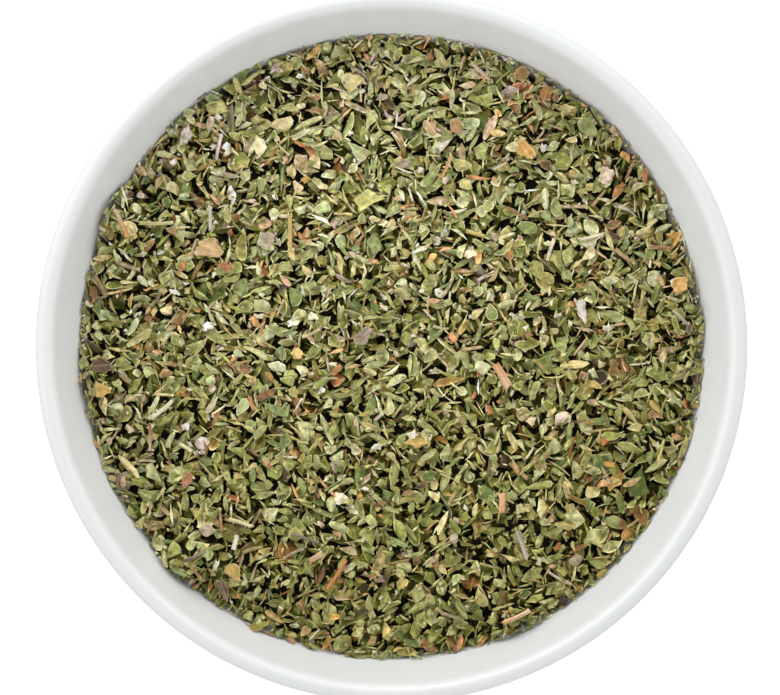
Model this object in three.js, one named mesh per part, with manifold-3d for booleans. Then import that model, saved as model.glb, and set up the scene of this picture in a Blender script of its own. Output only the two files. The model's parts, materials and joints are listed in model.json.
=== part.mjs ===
// A round white porcelain bowl filled with dried, rubbed oregano: a bed of crushed leaf flakes,
// with pieces of stalk and large dry leaf pieces lying loose on it.
// Millimetres, +Z up. The origin is the middle of the foot ring, on the surface that the bowl stands on.
import * as THREE from "three";
import { mergeVertices } from "three/addons/utils/BufferGeometryUtils.js";
import Module from "manifold-3d";

const wasm = await Module();
wasm.setup();

// Driving dimensions of the bowl
const RIM_DIAMETER = 120;
const BOWL_HEIGHT = 52;
const LIP_THICKNESS = 3.6; // the lip is a round of this width
const WALL_LEAN = 20; // degrees off upright, of the inner wall where it leaves the lip
const WALL_DROP = 18; // how far the wall's curve keeps to that direction
const BASE_THICKNESS = 4.4; // the wall grows to this towards the foot
const FOOT_DIAMETER = 62;
const FOOT_RING_WIDTH = 2.8;
const FOOT_RECESS = 2.2; // the bottom inside the foot ring is this far off the table
const FOOT_EDGE = 0.6; // chamfer of the foot ring
const INNER_FLOOR = 6.6; // height of the bowl's inner floor
const FLAT_FLOOR_RADIUS = 16;
const FLOOR_SPREAD = 25; // how far the wall's curve keeps to the floor, and how much it rises there
const FLOOR_RISE = 1;

// Driving dimensions of the filling
const FILL_EDGE_HEIGHT = 42.5; // where the herbs meet the wall
const CROWN = 2.2; // the middle of the bed stands this much above its edge
const CORE_DEPTH = 1.5; // the core that the flakes stand out of ends this far below the bed's mean surface
const CORE_ROUGHNESS = 0.5;
const FLAKE_COUNT = 250;
const FLAKE_LENGTH = [5.6, 7.6];
const FLAKE_SLENDERNESS = [0.5, 0.8]; // width over length
const FLAKE_THICKNESS = 0.75;
const FLAKE_TILT = [6, 36]; // degrees off the bed's surface
const FLAKE_ROOT = 0.2; // a flake is sunk this deep into what it lies on
const FLAKE_TRIES = 3; // the lowest of this many leans is kept
const BRACT = { share: 0.3, sides: 6, ragged: 0.12, depth: [0.3, 0.9] }; // round and cupped
const SHARD = { share: 0.25, sides: 5, ragged: 0.28, depth: [-0.5, 0.5] }; // torn
const LEAF = { rows: [[0.3, 0.95], [0.68, 0.8]], ragged: 0.06, fold: [0.1, 0.6], curl: [-0.06, 0.06] };
const SEED = 20617;

// Clearances
const SEAT = 0.3; // between pieces that touch
const FACET_ROOM = 0.25; // the flat facets of the wall stand this far inside its true curve, at most

// Pieces of stalk that lie loose on the bed. All of them: middle on the bed, length, thickness,
// heading in degrees from +X towards +Y, and colour.
const STALK_BOW = 0.02; // sideways bow, as a share of the length
const STALKS = [
  { at: [-17.3, 19.1], length: 6.3, thickness: 0.8, heading: 90, color: 0xa87b45 },
  { at: [-30.9, 21.9], length: 4.6, thickness: 0.65, heading: 92, color: 0xe4ddd0 },
  { at: [-45.7, 20.7], length: 5.6, thickness: 0.75, heading: 115, color: 0xb8764a },
  { at: [-39.9, 21.0], length: 6.1, thickness: 0.7, heading: 1, color: 0xb5a877 },
  { at: [34.0, 18.7], length: 4.6, thickness: 0.65, heading: 14, color: 0xd9cdbb },
  { at: [-9.3, -38.6], length: 6.3, thickness: 0.8, heading: 57, color: 0x9b6437 },
  { at: [15.1, 46.7], length: 4.6, thickness: 0.75, heading: 137, color: 0xd8bfa8 },
  { at: [9.3, 30.5], length: 4.4, thickness: 0.65, heading: 65, color: 0xa8783a },
  { at: [-41.1, -15.4], length: 5.1, thickness: 0.6, heading: 90, color: 0x9a5f45 },
  { at: [-38.9, -10.6], length: 4.8, thickness: 0.75, heading: 40, color: 0xd9cdb4 },
  { at: [-25.8, -29.9], length: 4.4, thickness: 0.7, heading: 161, color: 0xcfc19a },
  { at: [-26.6, -33.2], length: 2.9, thickness: 0.9, heading: 75, color: 0xe6e3d6 },
  { at: [-33.4, -35.5], length: 4.4, thickness: 0.7, heading: 23, color: 0x6f675c },
  { at: [-14.7, -32.6], length: 5.3, thickness: 0.6, heading: 162, color: 0x8a8079 },
  { at: [-12.8, -35.6], length: 3.1, thickness: 1.1, heading: 34, color: 0xcda18f },
  { at: [18.7, -4.9], length: 4.7, thickness: 1.6, heading: 120, color: 0xd9a279 },
  { at: [18.7, -26.5], length: 3.7, thickness: 1.3, heading: 88, color: 0xd49a70 },
  { at: [49.0, 4.9], length: 3.7, thickness: 0.7, heading: 135, color: 0xbfb097 },
  { at: [21.2, -45.8], length: 5.3, thickness: 0.9, heading: 24, color: 0xe0cb98 },
  { at: [22.1, -33.6], length: 5.1, thickness: 1.0, heading: 110, color: 0x9a8c77 },
];

// Large pieces of dry leaf that lie loose on the bed: as above, with the width of the blade, how much
// its two halves are folded up about the midrib, and how much its ends curl up.
const DRY_LEAF_THICKNESS = 0.6;
const DRY_LEAF_RAGGED = 0.04;
const DRY_LEAF_ROWS = [[0.2, 0.78], [0.52, 1], [0.8, 0.7]]; // place along the leaf, share of its width
const DRY_LEAVES = [
  { at: [-30.9, 16.8], length: 5.1, width: 3.7, heading: 170, fold: 0.12, curl: 0.1, color: 0xddbb96 },
  { at: [-28.2, 13.6], length: 2.7, width: 1.9, heading: 8, fold: 0.2, curl: 0.15, color: 0xb5714f },
  { at: [-21.3, 18.1], length: 3.4, width: 3.2, heading: 40, fold: 0.06, curl: 0.12, color: 0xbfa596 },
  { at: [-6.4, 45.0], length: 3.8, width: 3.5, heading: 50, fold: 0.08, curl: 0.08, color: 0xe6d6ae },
  { at: [22.6, 33.6], length: 4.5, width: 2.8, heading: 130, fold: 0.25, curl: 0.1, color: 0xddb07a },
  { at: [26.2, 42.8], length: 2.9, width: 2.3, heading: 80, fold: 0.1, curl: 0.1, color: 0xb9855e },
  { at: [33.5, 37.2], length: 3.8, width: 3.1, heading: 140, fold: 0.3, curl: 0.2, color: 0xc9a24a },
  { at: [6.7, 37.3], length: 3.3, width: 2.2, heading: 130, fold: 0.2, curl: 0.12, color: 0xc99f76 },
  { at: [11.0, 37.3], length: 3.3, width: 2.0, heading: 120, fold: 0.3, curl: 0.1, color: 0xa98763 },
  { at: [36.4, 29.3], length: 3.2, width: 2.7, heading: 60, fold: 0.15, curl: 0.15, color: 0xcdae98 },
  { at: [49.0, 10.5], length: 3.8, width: 2.9, heading: 60, fold: 0.3, curl: 0.25, color: 0xd9b06a },
  { at: [32.3, 6.0], length: 4.4, width: 1.8, heading: 105, fold: 0.35, curl: 0.08, color: 0xd5d2cc },
  { at: [-49.4, -3.2], length: 3.7, width: 2.7, heading: 5, fold: 0.2, curl: 0.1, color: 0x5a3a20 },
  { at: [-49.2, -7.4], length: 3.3, width: 2.4, heading: 160, fold: 0.15, curl: 0.2, color: 0xc2a45a },
  { at: [-34.6, -22.6], length: 3.1, width: 1.8, heading: 75, fold: 0.25, curl: 0.1, color: 0xb06f45 },
  { at: [-26.8, -38.4], length: 3.8, width: 2.6, heading: 120, fold: 0.3, curl: 0.1, color: 0xb08f5c },
  { at: [-28.6, -41.6], length: 4.2, width: 1.8, heading: 115, fold: 0.2, curl: 0.1, color: 0x6e5546 },
  { at: [4.2, -16.3], length: 4.6, width: 1.8, heading: 2, fold: 0.35, curl: 0.12, color: 0xcdb675 },
  { at: [-34.8, 36.2], length: 4.1, width: 1.8, heading: 75, fold: 0.1, curl: 0.05, color: 0xd2c2bc },
  { at: [-4.8, 1.8], length: 4.0, width: 2.3, heading: 45, fold: 0.2, curl: 0.12, color: 0x8f7d6e },
];

// How flakes and loose pieces fall on the bed
const DROP_HEIGHT = 8; // above the bed's mean surface
const FALL_STEPS = 30;
const FALL_PRECISION = 0.01;
const SEAT_TRIES = 5; // of a loose piece, the lowest of this many leans is kept
const SEAT_LEAN = 14; // degrees

// Fineness of the meshes
const BOWL_SIDES = 64;
const FOOT_SHARE = 0.82; // of the wall's curve, where the outside of the wall meets the foot
const OUTER_STEPS = 6;
const LIP_STEPS = 6;
const WALL_STEPS = 6;
const CORE_SIDES = 32;
const CORE_RINGS = 5;
const STALK_SIDES = 6;
const WELD = 1e-5; // vertices closer than this are one
const SLIVER = 0.004; // edges of the fused bed shorter than this are closed up

const { lerp, degToRad } = THREE.MathUtils;
const rimRadius = RIM_DIAMETER / 2;
const lipRadius = LIP_THICKNESS / 2;
const UP = new THREE.Vector3(0, 0, 1);

// A seeded random draw, from 0 to 1
let state = SEED;
function random() {
  state = (state + 0x6d2b79f5) | 0;
  let mixed = Math.imul(state ^ (state >>> 15), 1 | state);
  mixed = (mixed + Math.imul(mixed ^ (mixed >>> 7), 61 | mixed)) ^ mixed;
  return ((mixed ^ (mixed >>> 14)) >>> 0) / 2 ** 32;
}
const between = ([low, high]) => lerp(low, high, random());
const spread = (amount) => (2 * random() - 1) * amount;

// A point of the lip's round, at an angle from its outermost point over its top
function lipPoint(turn) {
  const radius = rimRadius - lipRadius + lipRadius * Math.cos(turn);
  return new THREE.Vector2(radius, BOWL_HEIGHT - lipRadius + lipRadius * Math.sin(turn));
}

// The inner side of the bowl's wall, from the lip down to the flat floor, as radius and height
const wallLean = degToRad(WALL_LEAN);
const wallTop = lipPoint(Math.PI - wallLean);
const innerWall = new THREE.CubicBezierCurve(
  wallTop,
  new THREE.Vector2(-Math.sin(wallLean), -Math.cos(wallLean)).multiplyScalar(WALL_DROP).add(wallTop),
  new THREE.Vector2(FLAT_FLOOR_RADIUS + FLOOR_SPREAD, INNER_FLOOR + FLOOR_RISE),
  new THREE.Vector2(FLAT_FLOOR_RADIUS, INNER_FLOOR),
);

// The share of the inner wall's curve at which it has a height
function wallShare(height) {
  let [low, high] = [0, 1];
  for (let halving = 0; halving < 24; halving++) {
    const middle = (low + high) / 2;
    if (innerWall.getPoint(middle).y > height) low = middle;
    else high = middle;
  }
  return low;
}

// A point beside the inner wall, a distance inside the bowl, or inside the wall where it is negative
function besideWall(share, distance) {
  const along = innerWall.getTangent(share);
  const inwards = new THREE.Vector2(along.y, -along.x);
  return innerWall.getPoint(share).addScaledVector(inwards, distance);
}

// Both the bowl and the core of the bed have their points of the wall at these shares of its curve
const coreShare = wallShare(FILL_EDGE_HEIGHT - CORE_DEPTH);
const wallShares = Array.from({ length: WALL_STEPS + 1 }, (_, step) => lerp(coreShare, 1, step / WALL_STEPS));

// The mean height of the bed's surface at a distance from the axis
const fillRadius = innerWall.getPoint(wallShare(FILL_EDGE_HEIGHT)).x;
const bedHeight = (radius) => FILL_EDGE_HEIGHT + CROWN * (1 - (radius / fillRadius) ** 2);

// A geometry with its shared vertices merged and no triangle of zero area
function welded(geometry) {
  geometry.deleteAttribute("normal");
  geometry.deleteAttribute("uv");
  const merged = mergeVertices(geometry, WELD);
  const kept = [];
  const index = merged.index.array;
  for (let corner = 0; corner < index.length; corner += 3) {
    const [a, b, c] = index.slice(corner, corner + 3);
    if (a !== b && b !== c && c !== a) kept.push(a, b, c);
  }
  return merged.setIndex(kept);
}

function toSolid(geometry) {
  const vertProperties = new Float32Array(geometry.attributes.position.array);
  const triVerts = new Uint32Array(geometry.index.array);
  return new wasm.Manifold(new wasm.Mesh({ numProp: 3, vertProperties, triVerts }));
}

function toGeometry(solid) {
  const { vertProperties, triVerts } = solid.getMesh();
  const geometry = new THREE.BufferGeometry();
  geometry.setAttribute("position", new THREE.Float32BufferAttribute(vertProperties, 3));
  geometry.setIndex([...triVerts]);
  geometry.computeVertexNormals();
  return geometry;
}

// A profile of radius and height turned round the Z axis
const turned = (profile, sides) => welded(new THREE.LatheGeometry(profile, sides).rotateX(Math.PI / 2));

function bowlGeometry() {
  const footRadius = FOOT_DIAMETER / 2;
  const ringInside = footRadius - FOOT_RING_WIDTH;
  const profile = [
    new THREE.Vector2(0, FOOT_RECESS),
    new THREE.Vector2(ringInside - FOOT_EDGE, FOOT_RECESS),
    new THREE.Vector2(ringInside, 0),
    new THREE.Vector2(footRadius - FOOT_EDGE, 0),
    new THREE.Vector2(footRadius, FOOT_EDGE),
  ];
  for (let step = OUTER_STEPS; step > 0; step--) {
    const share = (FOOT_SHARE * step) / OUTER_STEPS;
    profile.push(besideWall(share, -lerp(LIP_THICKNESS, BASE_THICKNESS, share)));
  }
  for (let step = 0; step < LIP_STEPS; step++) profile.push(lipPoint((Math.PI * step) / LIP_STEPS));
  profile.push(innerWall.getPoint(coreShare / 2));
  profile.push(...wallShares.map((share) => innerWall.getPoint(share)));
  profile.push(new THREE.Vector2(0, INNER_FLOOR));
  return turned(profile, BOWL_SIDES);
}

// A thin blade: a sheet of points, and the same sheet again below it, joined round the border
function blade(points, faces, border, thickness) {
  const vertices = [];
  for (const side of [thickness / 2, -thickness / 2]) {
    for (const { x, y, z } of points) vertices.push(x, y, z + side);
  }
  const count = points.length;
  const index = [];
  for (const [a, b, c] of faces) index.push(a, b, c, count + c, count + b, count + a);
  border.forEach((a, place) => {
    const b = border[(place + 1) % border.length];
    index.push(count + a, count + b, b, count + a, b, a);
  });
  const geometry = new THREE.BufferGeometry();
  geometry.setAttribute("position", new THREE.Float32BufferAttribute(vertices, 3));
  return geometry.setIndex(index);
}

// A pointed leaf along X, folded up on both sides of its midrib and curled up towards its ends.
// Each row of points across the blade is given by its place along the leaf and its share of the width.
function leafBlade({ length, width, fold, curl }, rows, ragged, thickness) {
  const point = (along, across) => {
    const x = (along - 0.5) * length;
    const rise = fold * Math.abs(across) + (curl * (2 * x) ** 2) / length;
    return new THREE.Vector3(x, across, rise);
  };
  const points = [point(0, 0)];
  for (const [along, share] of rows) {
    const half = (share * width) / 2;
    const left = point(along + spread(ragged), half * (1 + spread(2 * ragged)));
    const right = point(along + spread(ragged), -half * (1 + spread(2 * ragged)));
    points.push(left, point(along, 0), right);
  }
  points.push(point(1, 0));
  const tip = points.length - 1;
  const last = tip - 3;
  const faces = [[0, 3, 2], [0, 2, 1], [last + 2, tip, last + 1], [last + 1, tip, last]];
  for (let left = 1; left < last; left += 3) {
    const [middle, right] = [left + 1, left + 2];
    faces.push([middle, right, right + 3], [middle, right + 3, middle + 3]);
    faces.push([left, middle, middle + 3], [left, middle + 3, left + 3]);
  }
  const rights = rows.map((_, row) => 3 * row + 3);
  const lefts = rows.map((_, row) => 3 * row + 1).reverse();
  return blade(points, faces, [0, ...rights, tip, ...lefts], thickness);
}

// A round or torn flake, cupped about its middle
function cupBlade({ length, width, depth }, sides, ragged, thickness) {
  const points = [];
  for (let side = 0; side < sides; side++) {
    const turn = (2 * Math.PI * (side + spread(ragged))) / sides;
    const reach = 0.5 * (1 + spread(ragged));
    points.push(new THREE.Vector3(length * reach * Math.cos(turn), width * reach * Math.sin(turn), 0));
  }
  points.push(new THREE.Vector3(0, 0, -depth));
  const border = points.slice(0, sides).map((_, side) => side);
  const faces = border.map((side) => [sides, side, (side + 1) % sides]);
  return blade(points, faces, border, thickness);
}

// One flake of the bed, larger than life: a bract, a shard of a leaf or a small folded leaf
function flakeBlade() {
  const length = between(FLAKE_LENGTH);
  const width = length * between(FLAKE_SLENDERNESS);
  const kind = random();
  if (kind > BRACT.share + SHARD.share) {
    const form = { length, width, fold: between(LEAF.fold), curl: between(LEAF.curl) };
    return leafBlade(form, LEAF.rows, LEAF.ragged, FLAKE_THICKNESS);
  }
  const { depth, sides, ragged } = kind < BRACT.share ? BRACT : SHARD;
  return cupBlade({ length, width, depth: between(depth) }, sides, ragged, FLAKE_THICKNESS);
}

// The turn of a piece that heads along the bed at an angle and leans towards a side
function poseTurn(heading, lean, leanSide) {
  const axis = new THREE.Vector3(Math.cos(leanSide), Math.sin(leanSide), 0);
  const leaning = new THREE.Quaternion().setFromAxisAngle(axis, lean);
  return leaning.multiply(new THREE.Quaternion().setFromAxisAngle(UP, heading));
}

// Slides a geometry towards the axis until it is clear of the wall at the level of the core's edge
function keepOffWall(geometry) {
  const position = geometry.attributes.position;
  const allowed = innerWall.getPoint(coreShare).x - SEAT - FACET_ROOM;
  let reach = 0;
  for (let vertex = 0; vertex < position.count; vertex++) {
    reach = Math.max(reach, Math.hypot(position.getX(vertex), position.getY(vertex)));
  }
  const { x, y } = geometry.boundingBox.getCenter(new THREE.Vector3());
  const inwards = new THREE.Vector3(-x, -y, 0).normalize().multiplyScalar(Math.max(0, reach - allowed));
  return geometry.translate(inwards.x, inwards.y, 0);
}

// How far a solid can fall before it is a given gap above those below it
function fall(solid, others, gap) {
  let drop = 0;
  for (let step = 0; step < FALL_STEPS; step++) {
    const lowered = solid.translate(0, 0, -drop);
    const room = Math.min(...others.map((other) => other.minGap(lowered, DROP_HEIGHT))) - gap;
    lowered.delete();
    drop += room;
    if (room < FALL_PRECISION) break;
  }
  return drop;
}

// The core of the bed: it fills the bowl, and its rough top lies below the flakes
function coreSolid() {
  const profile = [new THREE.Vector2(0, INNER_FLOOR + SEAT)];
  for (const share of wallShares.toReversed()) profile.push(besideWall(share, SEAT));
  const edge = profile.at(-1);
  for (let ring = CORE_RINGS - 1; ring >= 0; ring--) {
    const radius = (edge.x * ring) / CORE_RINGS;
    profile.push(new THREE.Vector2(radius, bedHeight(radius) - CORE_DEPTH));
  }
  const geometry = turned(profile, CORE_SIDES);
  const position = geometry.attributes.position;
  for (let vertex = 0; vertex < position.count; vertex++) {
    const radius = Math.hypot(position.getX(vertex), position.getY(vertex));
    const isTop = radius < edge.x - SEAT && position.getZ(vertex) > edge.y - CORE_ROUGHNESS;
    if (isTop) position.setZ(vertex, position.getZ(vertex) + spread(CORE_ROUGHNESS));
  }
  return toSolid(geometry);
}

// The flakes are spread by the golden angle, so that they cover the bed evenly without rows. They fall
// on the bed one by one in a random order, and each is sunk a little into what it lands on.
function bedGeometry() {
  const goldenAngle = Math.PI * (3 - Math.sqrt(5));
  const longest = FLAKE_LENGTH[1];
  const places = Array.from({ length: FLAKE_COUNT }, (_, flake) => ({ flake, order: random() }));
  places.sort((a, b) => a.order - b.order);
  const core = coreSolid();
  const placed = [];
  for (const { flake } of places) {
    const radius = fillRadius * Math.sqrt((flake + random()) / FLAKE_COUNT);
    const angle = flake * goldenAngle;
    const x = radius * Math.cos(angle);
    const y = radius * Math.sin(angle);
    const near = placed.filter((other) => Math.hypot(other.x - x, other.y - y) < longest);
    const below = [core, ...near.map((other) => other.solid)];
    const blade = flakeBlade();
    let lowest = null;
    for (let attempt = 0; attempt < FLAKE_TRIES; attempt++) {
      const turn = poseTurn(spread(Math.PI), degToRad(between(FLAKE_TILT)), spread(Math.PI));
      const geometry = blade.clone().applyQuaternion(turn).translate(x, y, bedHeight(radius) + DROP_HEIGHT);
      geometry.computeBoundingBox();
      const solid = toSolid(keepOffWall(geometry));
      const drop = fall(solid, below, 0);
      if (!lowest || drop > lowest.drop) lowest = { solid, drop, x, y };
    }
    lowest.solid = lowest.solid.translate(0, 0, -lowest.drop - FLAKE_ROOT);
    placed.push(lowest);
  }
  const [bed] = wasm.Manifold.union([core, ...placed.map((flake) => flake.solid)])
    .simplify(SLIVER)
    .decompose()
    .sort((a, b) => b.volume() - a.volume());
  return toGeometry(bed);
}

// Lays loose pieces one by one on the bed, clear of it, of the bowl and of each other
function seated(blade, { at: [x, y], heading }, others) {
  let lowest = null;
  for (let attempt = 0; attempt < SEAT_TRIES; attempt++) {
    const turn = poseTurn(degToRad(heading), degToRad(spread(SEAT_LEAN)), spread(Math.PI));
    const start = bedHeight(Math.hypot(x, y)) + DROP_HEIGHT;
    const geometry = blade.clone().applyQuaternion(turn).translate(x, y, start);
    const solid = toSolid(geometry);
    const drop = fall(solid, others, SEAT);
    if (!lowest || drop > lowest.drop) lowest = { solid, drop };
  }
  return lowest.solid.translate(0, 0, -lowest.drop);
}

function stalkRod({ length, thickness }) {
  const rod = welded(new THREE.CylinderGeometry(thickness / 2, thickness / 2, length, STALK_SIDES, 2));
  const position = rod.attributes.position;
  for (let vertex = 0; vertex < position.count; vertex++) {
    const along = position.getY(vertex) / length;
    position.setX(vertex, position.getX(vertex) + STALK_BOW * length * (1 - 4 * along ** 2));
  }
  return rod.rotateZ(-Math.PI / 2);
}

const dryLeafBlade = (form) => leafBlade(form, DRY_LEAF_ROWS, DRY_LEAF_RAGGED, DRY_LEAF_THICKNESS);

function named(name, geometry, color, roughness) {
  const mesh = new THREE.Mesh(geometry, new THREE.MeshStandardMaterial({ color, roughness, metalness: 0 }));
  mesh.name = name;
  return mesh;
}

const part = new THREE.Group();
const bowl = bowlGeometry();
const bed = bedGeometry();
part.add(named("bowl", bowl, 0xf2f2f0, 0.12));
part.add(named("oregano_bed", bed, 0x7b764c, 0.75));

const settled = [toSolid(bowl), toSolid(bed)];
const looseKinds = [
  { kind: "dry_leaf", places: DRY_LEAVES, shape: dryLeafBlade, roughness: 0.7 },
  { kind: "stalk", places: STALKS, shape: stalkRod, roughness: 0.8 },
];
for (const { kind, places, shape, roughness } of looseKinds) {
  places.forEach((place, index) => {
    const solid = seated(shape(place), place, settled);
    settled.push(solid);
    const name = `${kind}_${String(index + 1).padStart(2, "0")}`;
    part.add(named(name, toGeometry(solid), place.color, roughness));
  });
}

export default part;
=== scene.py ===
"""A white porcelain bowl filled with dried, rubbed oregano, seen from straight above.

Everything is in the frame of the CAD model, with +Z up and the origin in the middle of the foot ring.
Shapes are worked out in millimetres, and become metres where a mesh is made. The heap is made of some
thousands of thin flakes that are laid on each other one small batch at a time."""
import json
import math

import bpy
import numpy as np
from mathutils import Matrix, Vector
from mathutils.bvhtree import BVHTree

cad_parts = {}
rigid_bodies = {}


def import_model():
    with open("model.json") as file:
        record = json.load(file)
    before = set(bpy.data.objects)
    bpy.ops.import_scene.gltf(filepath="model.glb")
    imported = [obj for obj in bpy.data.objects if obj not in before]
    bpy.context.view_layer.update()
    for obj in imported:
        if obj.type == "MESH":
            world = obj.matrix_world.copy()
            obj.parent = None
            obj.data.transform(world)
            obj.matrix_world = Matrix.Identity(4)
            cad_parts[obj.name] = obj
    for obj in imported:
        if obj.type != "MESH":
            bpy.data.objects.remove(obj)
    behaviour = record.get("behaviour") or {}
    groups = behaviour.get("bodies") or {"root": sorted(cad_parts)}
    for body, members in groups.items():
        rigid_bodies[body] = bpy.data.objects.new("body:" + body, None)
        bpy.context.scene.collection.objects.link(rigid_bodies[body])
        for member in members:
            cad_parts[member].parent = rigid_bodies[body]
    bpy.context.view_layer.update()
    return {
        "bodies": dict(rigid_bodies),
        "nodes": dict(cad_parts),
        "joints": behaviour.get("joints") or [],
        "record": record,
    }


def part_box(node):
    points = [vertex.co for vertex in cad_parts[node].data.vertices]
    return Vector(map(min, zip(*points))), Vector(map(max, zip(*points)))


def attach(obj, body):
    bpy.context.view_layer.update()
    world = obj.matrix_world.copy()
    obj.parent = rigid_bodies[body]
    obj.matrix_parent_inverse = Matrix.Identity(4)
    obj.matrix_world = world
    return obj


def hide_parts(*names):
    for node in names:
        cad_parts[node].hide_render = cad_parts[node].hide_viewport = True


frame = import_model()
draw = np.random.default_rng(4711)
MM = 0.001

# Driving dimensions of the bowl. Its rim and height come from the frame.
rim_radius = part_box("bowl")[1].x / MM
bowl_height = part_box("bowl")[1].z / MM
LIP_ROUND = 1.6  # radius of the lip's outer side
LIP_FALL = (2.0, 3.2)  # half axes of the ellipse that the lip falls away in on its inner side
LIP_THICKNESS = 3.5  # of the wall, where the lip begins
BASE_THICKNESS = 4.4
FOOT_RADIUS = 31.0
FOOT_RING_WIDTH = 2.8
FOOT_RECESS = 2.2
FOOT_EDGE = 0.6
INNER_FLOOR = 6.6
FLAT_FLOOR_RADIUS = 16.0
WALL_LEAN = math.radians(20)  # off upright, of the inner wall where it leaves the lip
LIP_END = math.pi - math.atan(math.tan(WALL_LEAN) * LIP_FALL[1] / LIP_FALL[0])
WALL_DROP = 18.0  # how far the wall's curve keeps to that direction
FLOOR_SPREAD = 25.0  # how far the wall's curve keeps to the floor, and how much it rises there
FLOOR_RISE = 1.0
FOOT_SHARE = 0.82  # of the wall's curve, where the outside of the wall meets the foot
UNGLAZED_HEIGHT = 0.35  # the foot ring has no glaze below this
FOOT_ROUNDS = [(0.5, 5), (0.35, 4), (0.2, 3), (0.2, 3)]  # reach and points of the foot's rounded corners
RECESS_EDGE = 1.5  # the recess is flat up to this far from the foot ring
BOWL_SIDES = 224
RECESS_STEPS, OUTER_STEPS, LIP_STEPS, INNER_STEPS, FLOOR_STEPS = 8, 44, (9, 14), 56, 6
WALL_SAMPLES = 400

# Driving dimensions of the heap
FILL_HEIGHT = 42.5  # where the herbs meet the wall
CROWN = 2.2  # the middle of the heap stands this much above its edge
HEAP_DEPTH = 2.6  # depth of the loose flakes over the dark core
WALL_GAP = 0.06  # between flakes and the wall
CORE_GAP = 0.3  # between the core and the bowl

# The grid of heights that flakes are laid on
CELL = 0.25
GRID_REACH = 57.0
CELLS = round(2 * GRID_REACH / CELL) + 1
grid_line = np.linspace(-GRID_REACH, GRID_REACH, CELLS)
grid_x, grid_y = np.meshgrid(grid_line, grid_line, indexing="ij")
grid_radius = np.hypot(grid_x, grid_y)


def smoothstep(value, low, high):
    share = np.clip((value - low) / (high - low), 0, 1)
    return share * share * (3 - 2 * share)


def mix(first, second, share):
    return first + (second - first) * share


def linear(tone):
    """A colour of 0 to 255 as a screen shows it, as linear light."""
    tone = np.asarray(tone, float) / 255
    return np.where(tone > 0.04045, ((tone + 0.055) / 1.055) ** 2.4, tone / 12.92)


# Materials

MIX_SHARE, MIX_FIRST, MIX_SECOND = 0, 6, 7  # inputs of a Mix node for colours
MIX_RESULT = 2
TINT_STOPS = (0.35, 0.65)  # a soft noise lies between these
NOISE_RANGE = (0.3, 0.7)  # and a fine one between these
GRAIN_FINENESS = 12  # waves of the grain for each wave of the tint
GRAIN_STRENGTH = 0.6
DRY_GRAIN_STRENGTH = 0.7
DRY_SPECULAR = 0.35
VEIN_SLANT = 0.8  # how far a side vein runs along its leaf, for each millimetre across it
MIDRIB_FADE = (0.05, 0.16)  # how far beside the middle, in spacings of the side veins
SIDE_VEIN_FADE = (0.72, 0.98)  # of the sine wave whose tops are the side veins
SIDE_VEIN_STRENGTH = 0.5
SIDE_VEIN_END = (4, 6)  # how far out the side veins fade, in their spacings
MARGIN_FADE = (0.84, 0.97)  # of the way to the edge
MARGIN_STRENGTH = 0.8
VEIN_HEIGHT = 0.5  # beside the height of the grain


def node_material(name):
    material = bpy.data.materials.new(name)
    material.use_nodes = True
    nodes = material.node_tree.nodes
    return material, nodes, material.node_tree.links, nodes["Principled BSDF"]


def noise_node(nodes, links, scale, detail):
    """A noise over the piece's own coordinates, whose scale is in waves to the metre."""
    coordinates = nodes.new("ShaderNodeTexCoord")
    noise = nodes.new("ShaderNodeTexNoise")
    noise.inputs["Scale"].default_value = scale
    noise.inputs["Detail"].default_value = detail
    links.new(coordinates.outputs["Object"], noise.inputs["Vector"])
    return noise.outputs["Fac"]


def range_node(nodes, links, value, low, high, span=NOISE_RANGE, smooth=False):
    """Turns a value within a span, by default a noise, into a value from low to high."""
    spread = nodes.new("ShaderNodeMapRange")
    spread.interpolation_type = "SMOOTHSTEP" if smooth else "LINEAR"
    spread.inputs["From Min"].default_value = span[0]
    spread.inputs["From Max"].default_value = span[1]
    spread.inputs["To Min"].default_value = low
    spread.inputs["To Max"].default_value = high
    links.new(value, spread.inputs["Value"])
    return spread.outputs["Result"]


def math_node(nodes, links, operation, *values):
    step = nodes.new("ShaderNodeMath")
    step.operation = operation
    for number, value in enumerate(values):
        if isinstance(value, (int, float)):
            step.inputs[number].default_value = value
        else:
            links.new(value, step.inputs[number])
    return step.outputs[0]


def multiply_node(nodes, links, first, second):
    """The product of two colours, kept within what a surface can reflect."""
    product = nodes.new("ShaderNodeMix")
    product.data_type = "RGBA"
    product.blend_type = "MULTIPLY"
    product.clamp_result = True
    product.inputs[MIX_SHARE].default_value = 1
    links.new(first, product.inputs[MIX_FIRST])
    links.new(second, product.inputs[MIX_SECOND])
    return product.outputs[MIX_RESULT]


def bump_node(nodes, links, height, distance, strength):
    """The surface's facing with bumps, which are at most a distance in metres deep."""
    bump = nodes.new("ShaderNodeBump")
    bump.inputs["Distance"].default_value = distance
    bump.inputs["Strength"].default_value = strength
    links.new(height, bump.inputs["Height"])
    return bump.outputs["Normal"]


def tinted_material(name, low, high, scale, roughness, bump_depth=0):
    """A material whose colour and gloss drift softly, with a fine grain if it has a bump depth."""
    material, nodes, links, shader = node_material(name)
    ramp = nodes.new("ShaderNodeValToRGB")
    for stop, place, tone in zip(ramp.color_ramp.elements, TINT_STOPS, (low, high)):
        stop.position = place
        stop.color = (*linear(tone), 1)
    links.new(noise_node(nodes, links, scale, 2), ramp.inputs["Fac"])
    links.new(ramp.outputs["Color"], shader.inputs["Base Color"])
    grain = noise_node(nodes, links, GRAIN_FINENESS * scale, 3)
    links.new(range_node(nodes, links, grain, *roughness), shader.inputs["Roughness"])
    if bump_depth:
        links.new(bump_node(nodes, links, grain, bump_depth, GRAIN_STRENGTH), shader.inputs["Normal"])
    return material


def glaze_material():
    return tinted_material(
        "white_glaze", low=(225, 227, 228), high=(227, 229, 229), scale=18, roughness=(0.19, 0.24))


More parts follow.
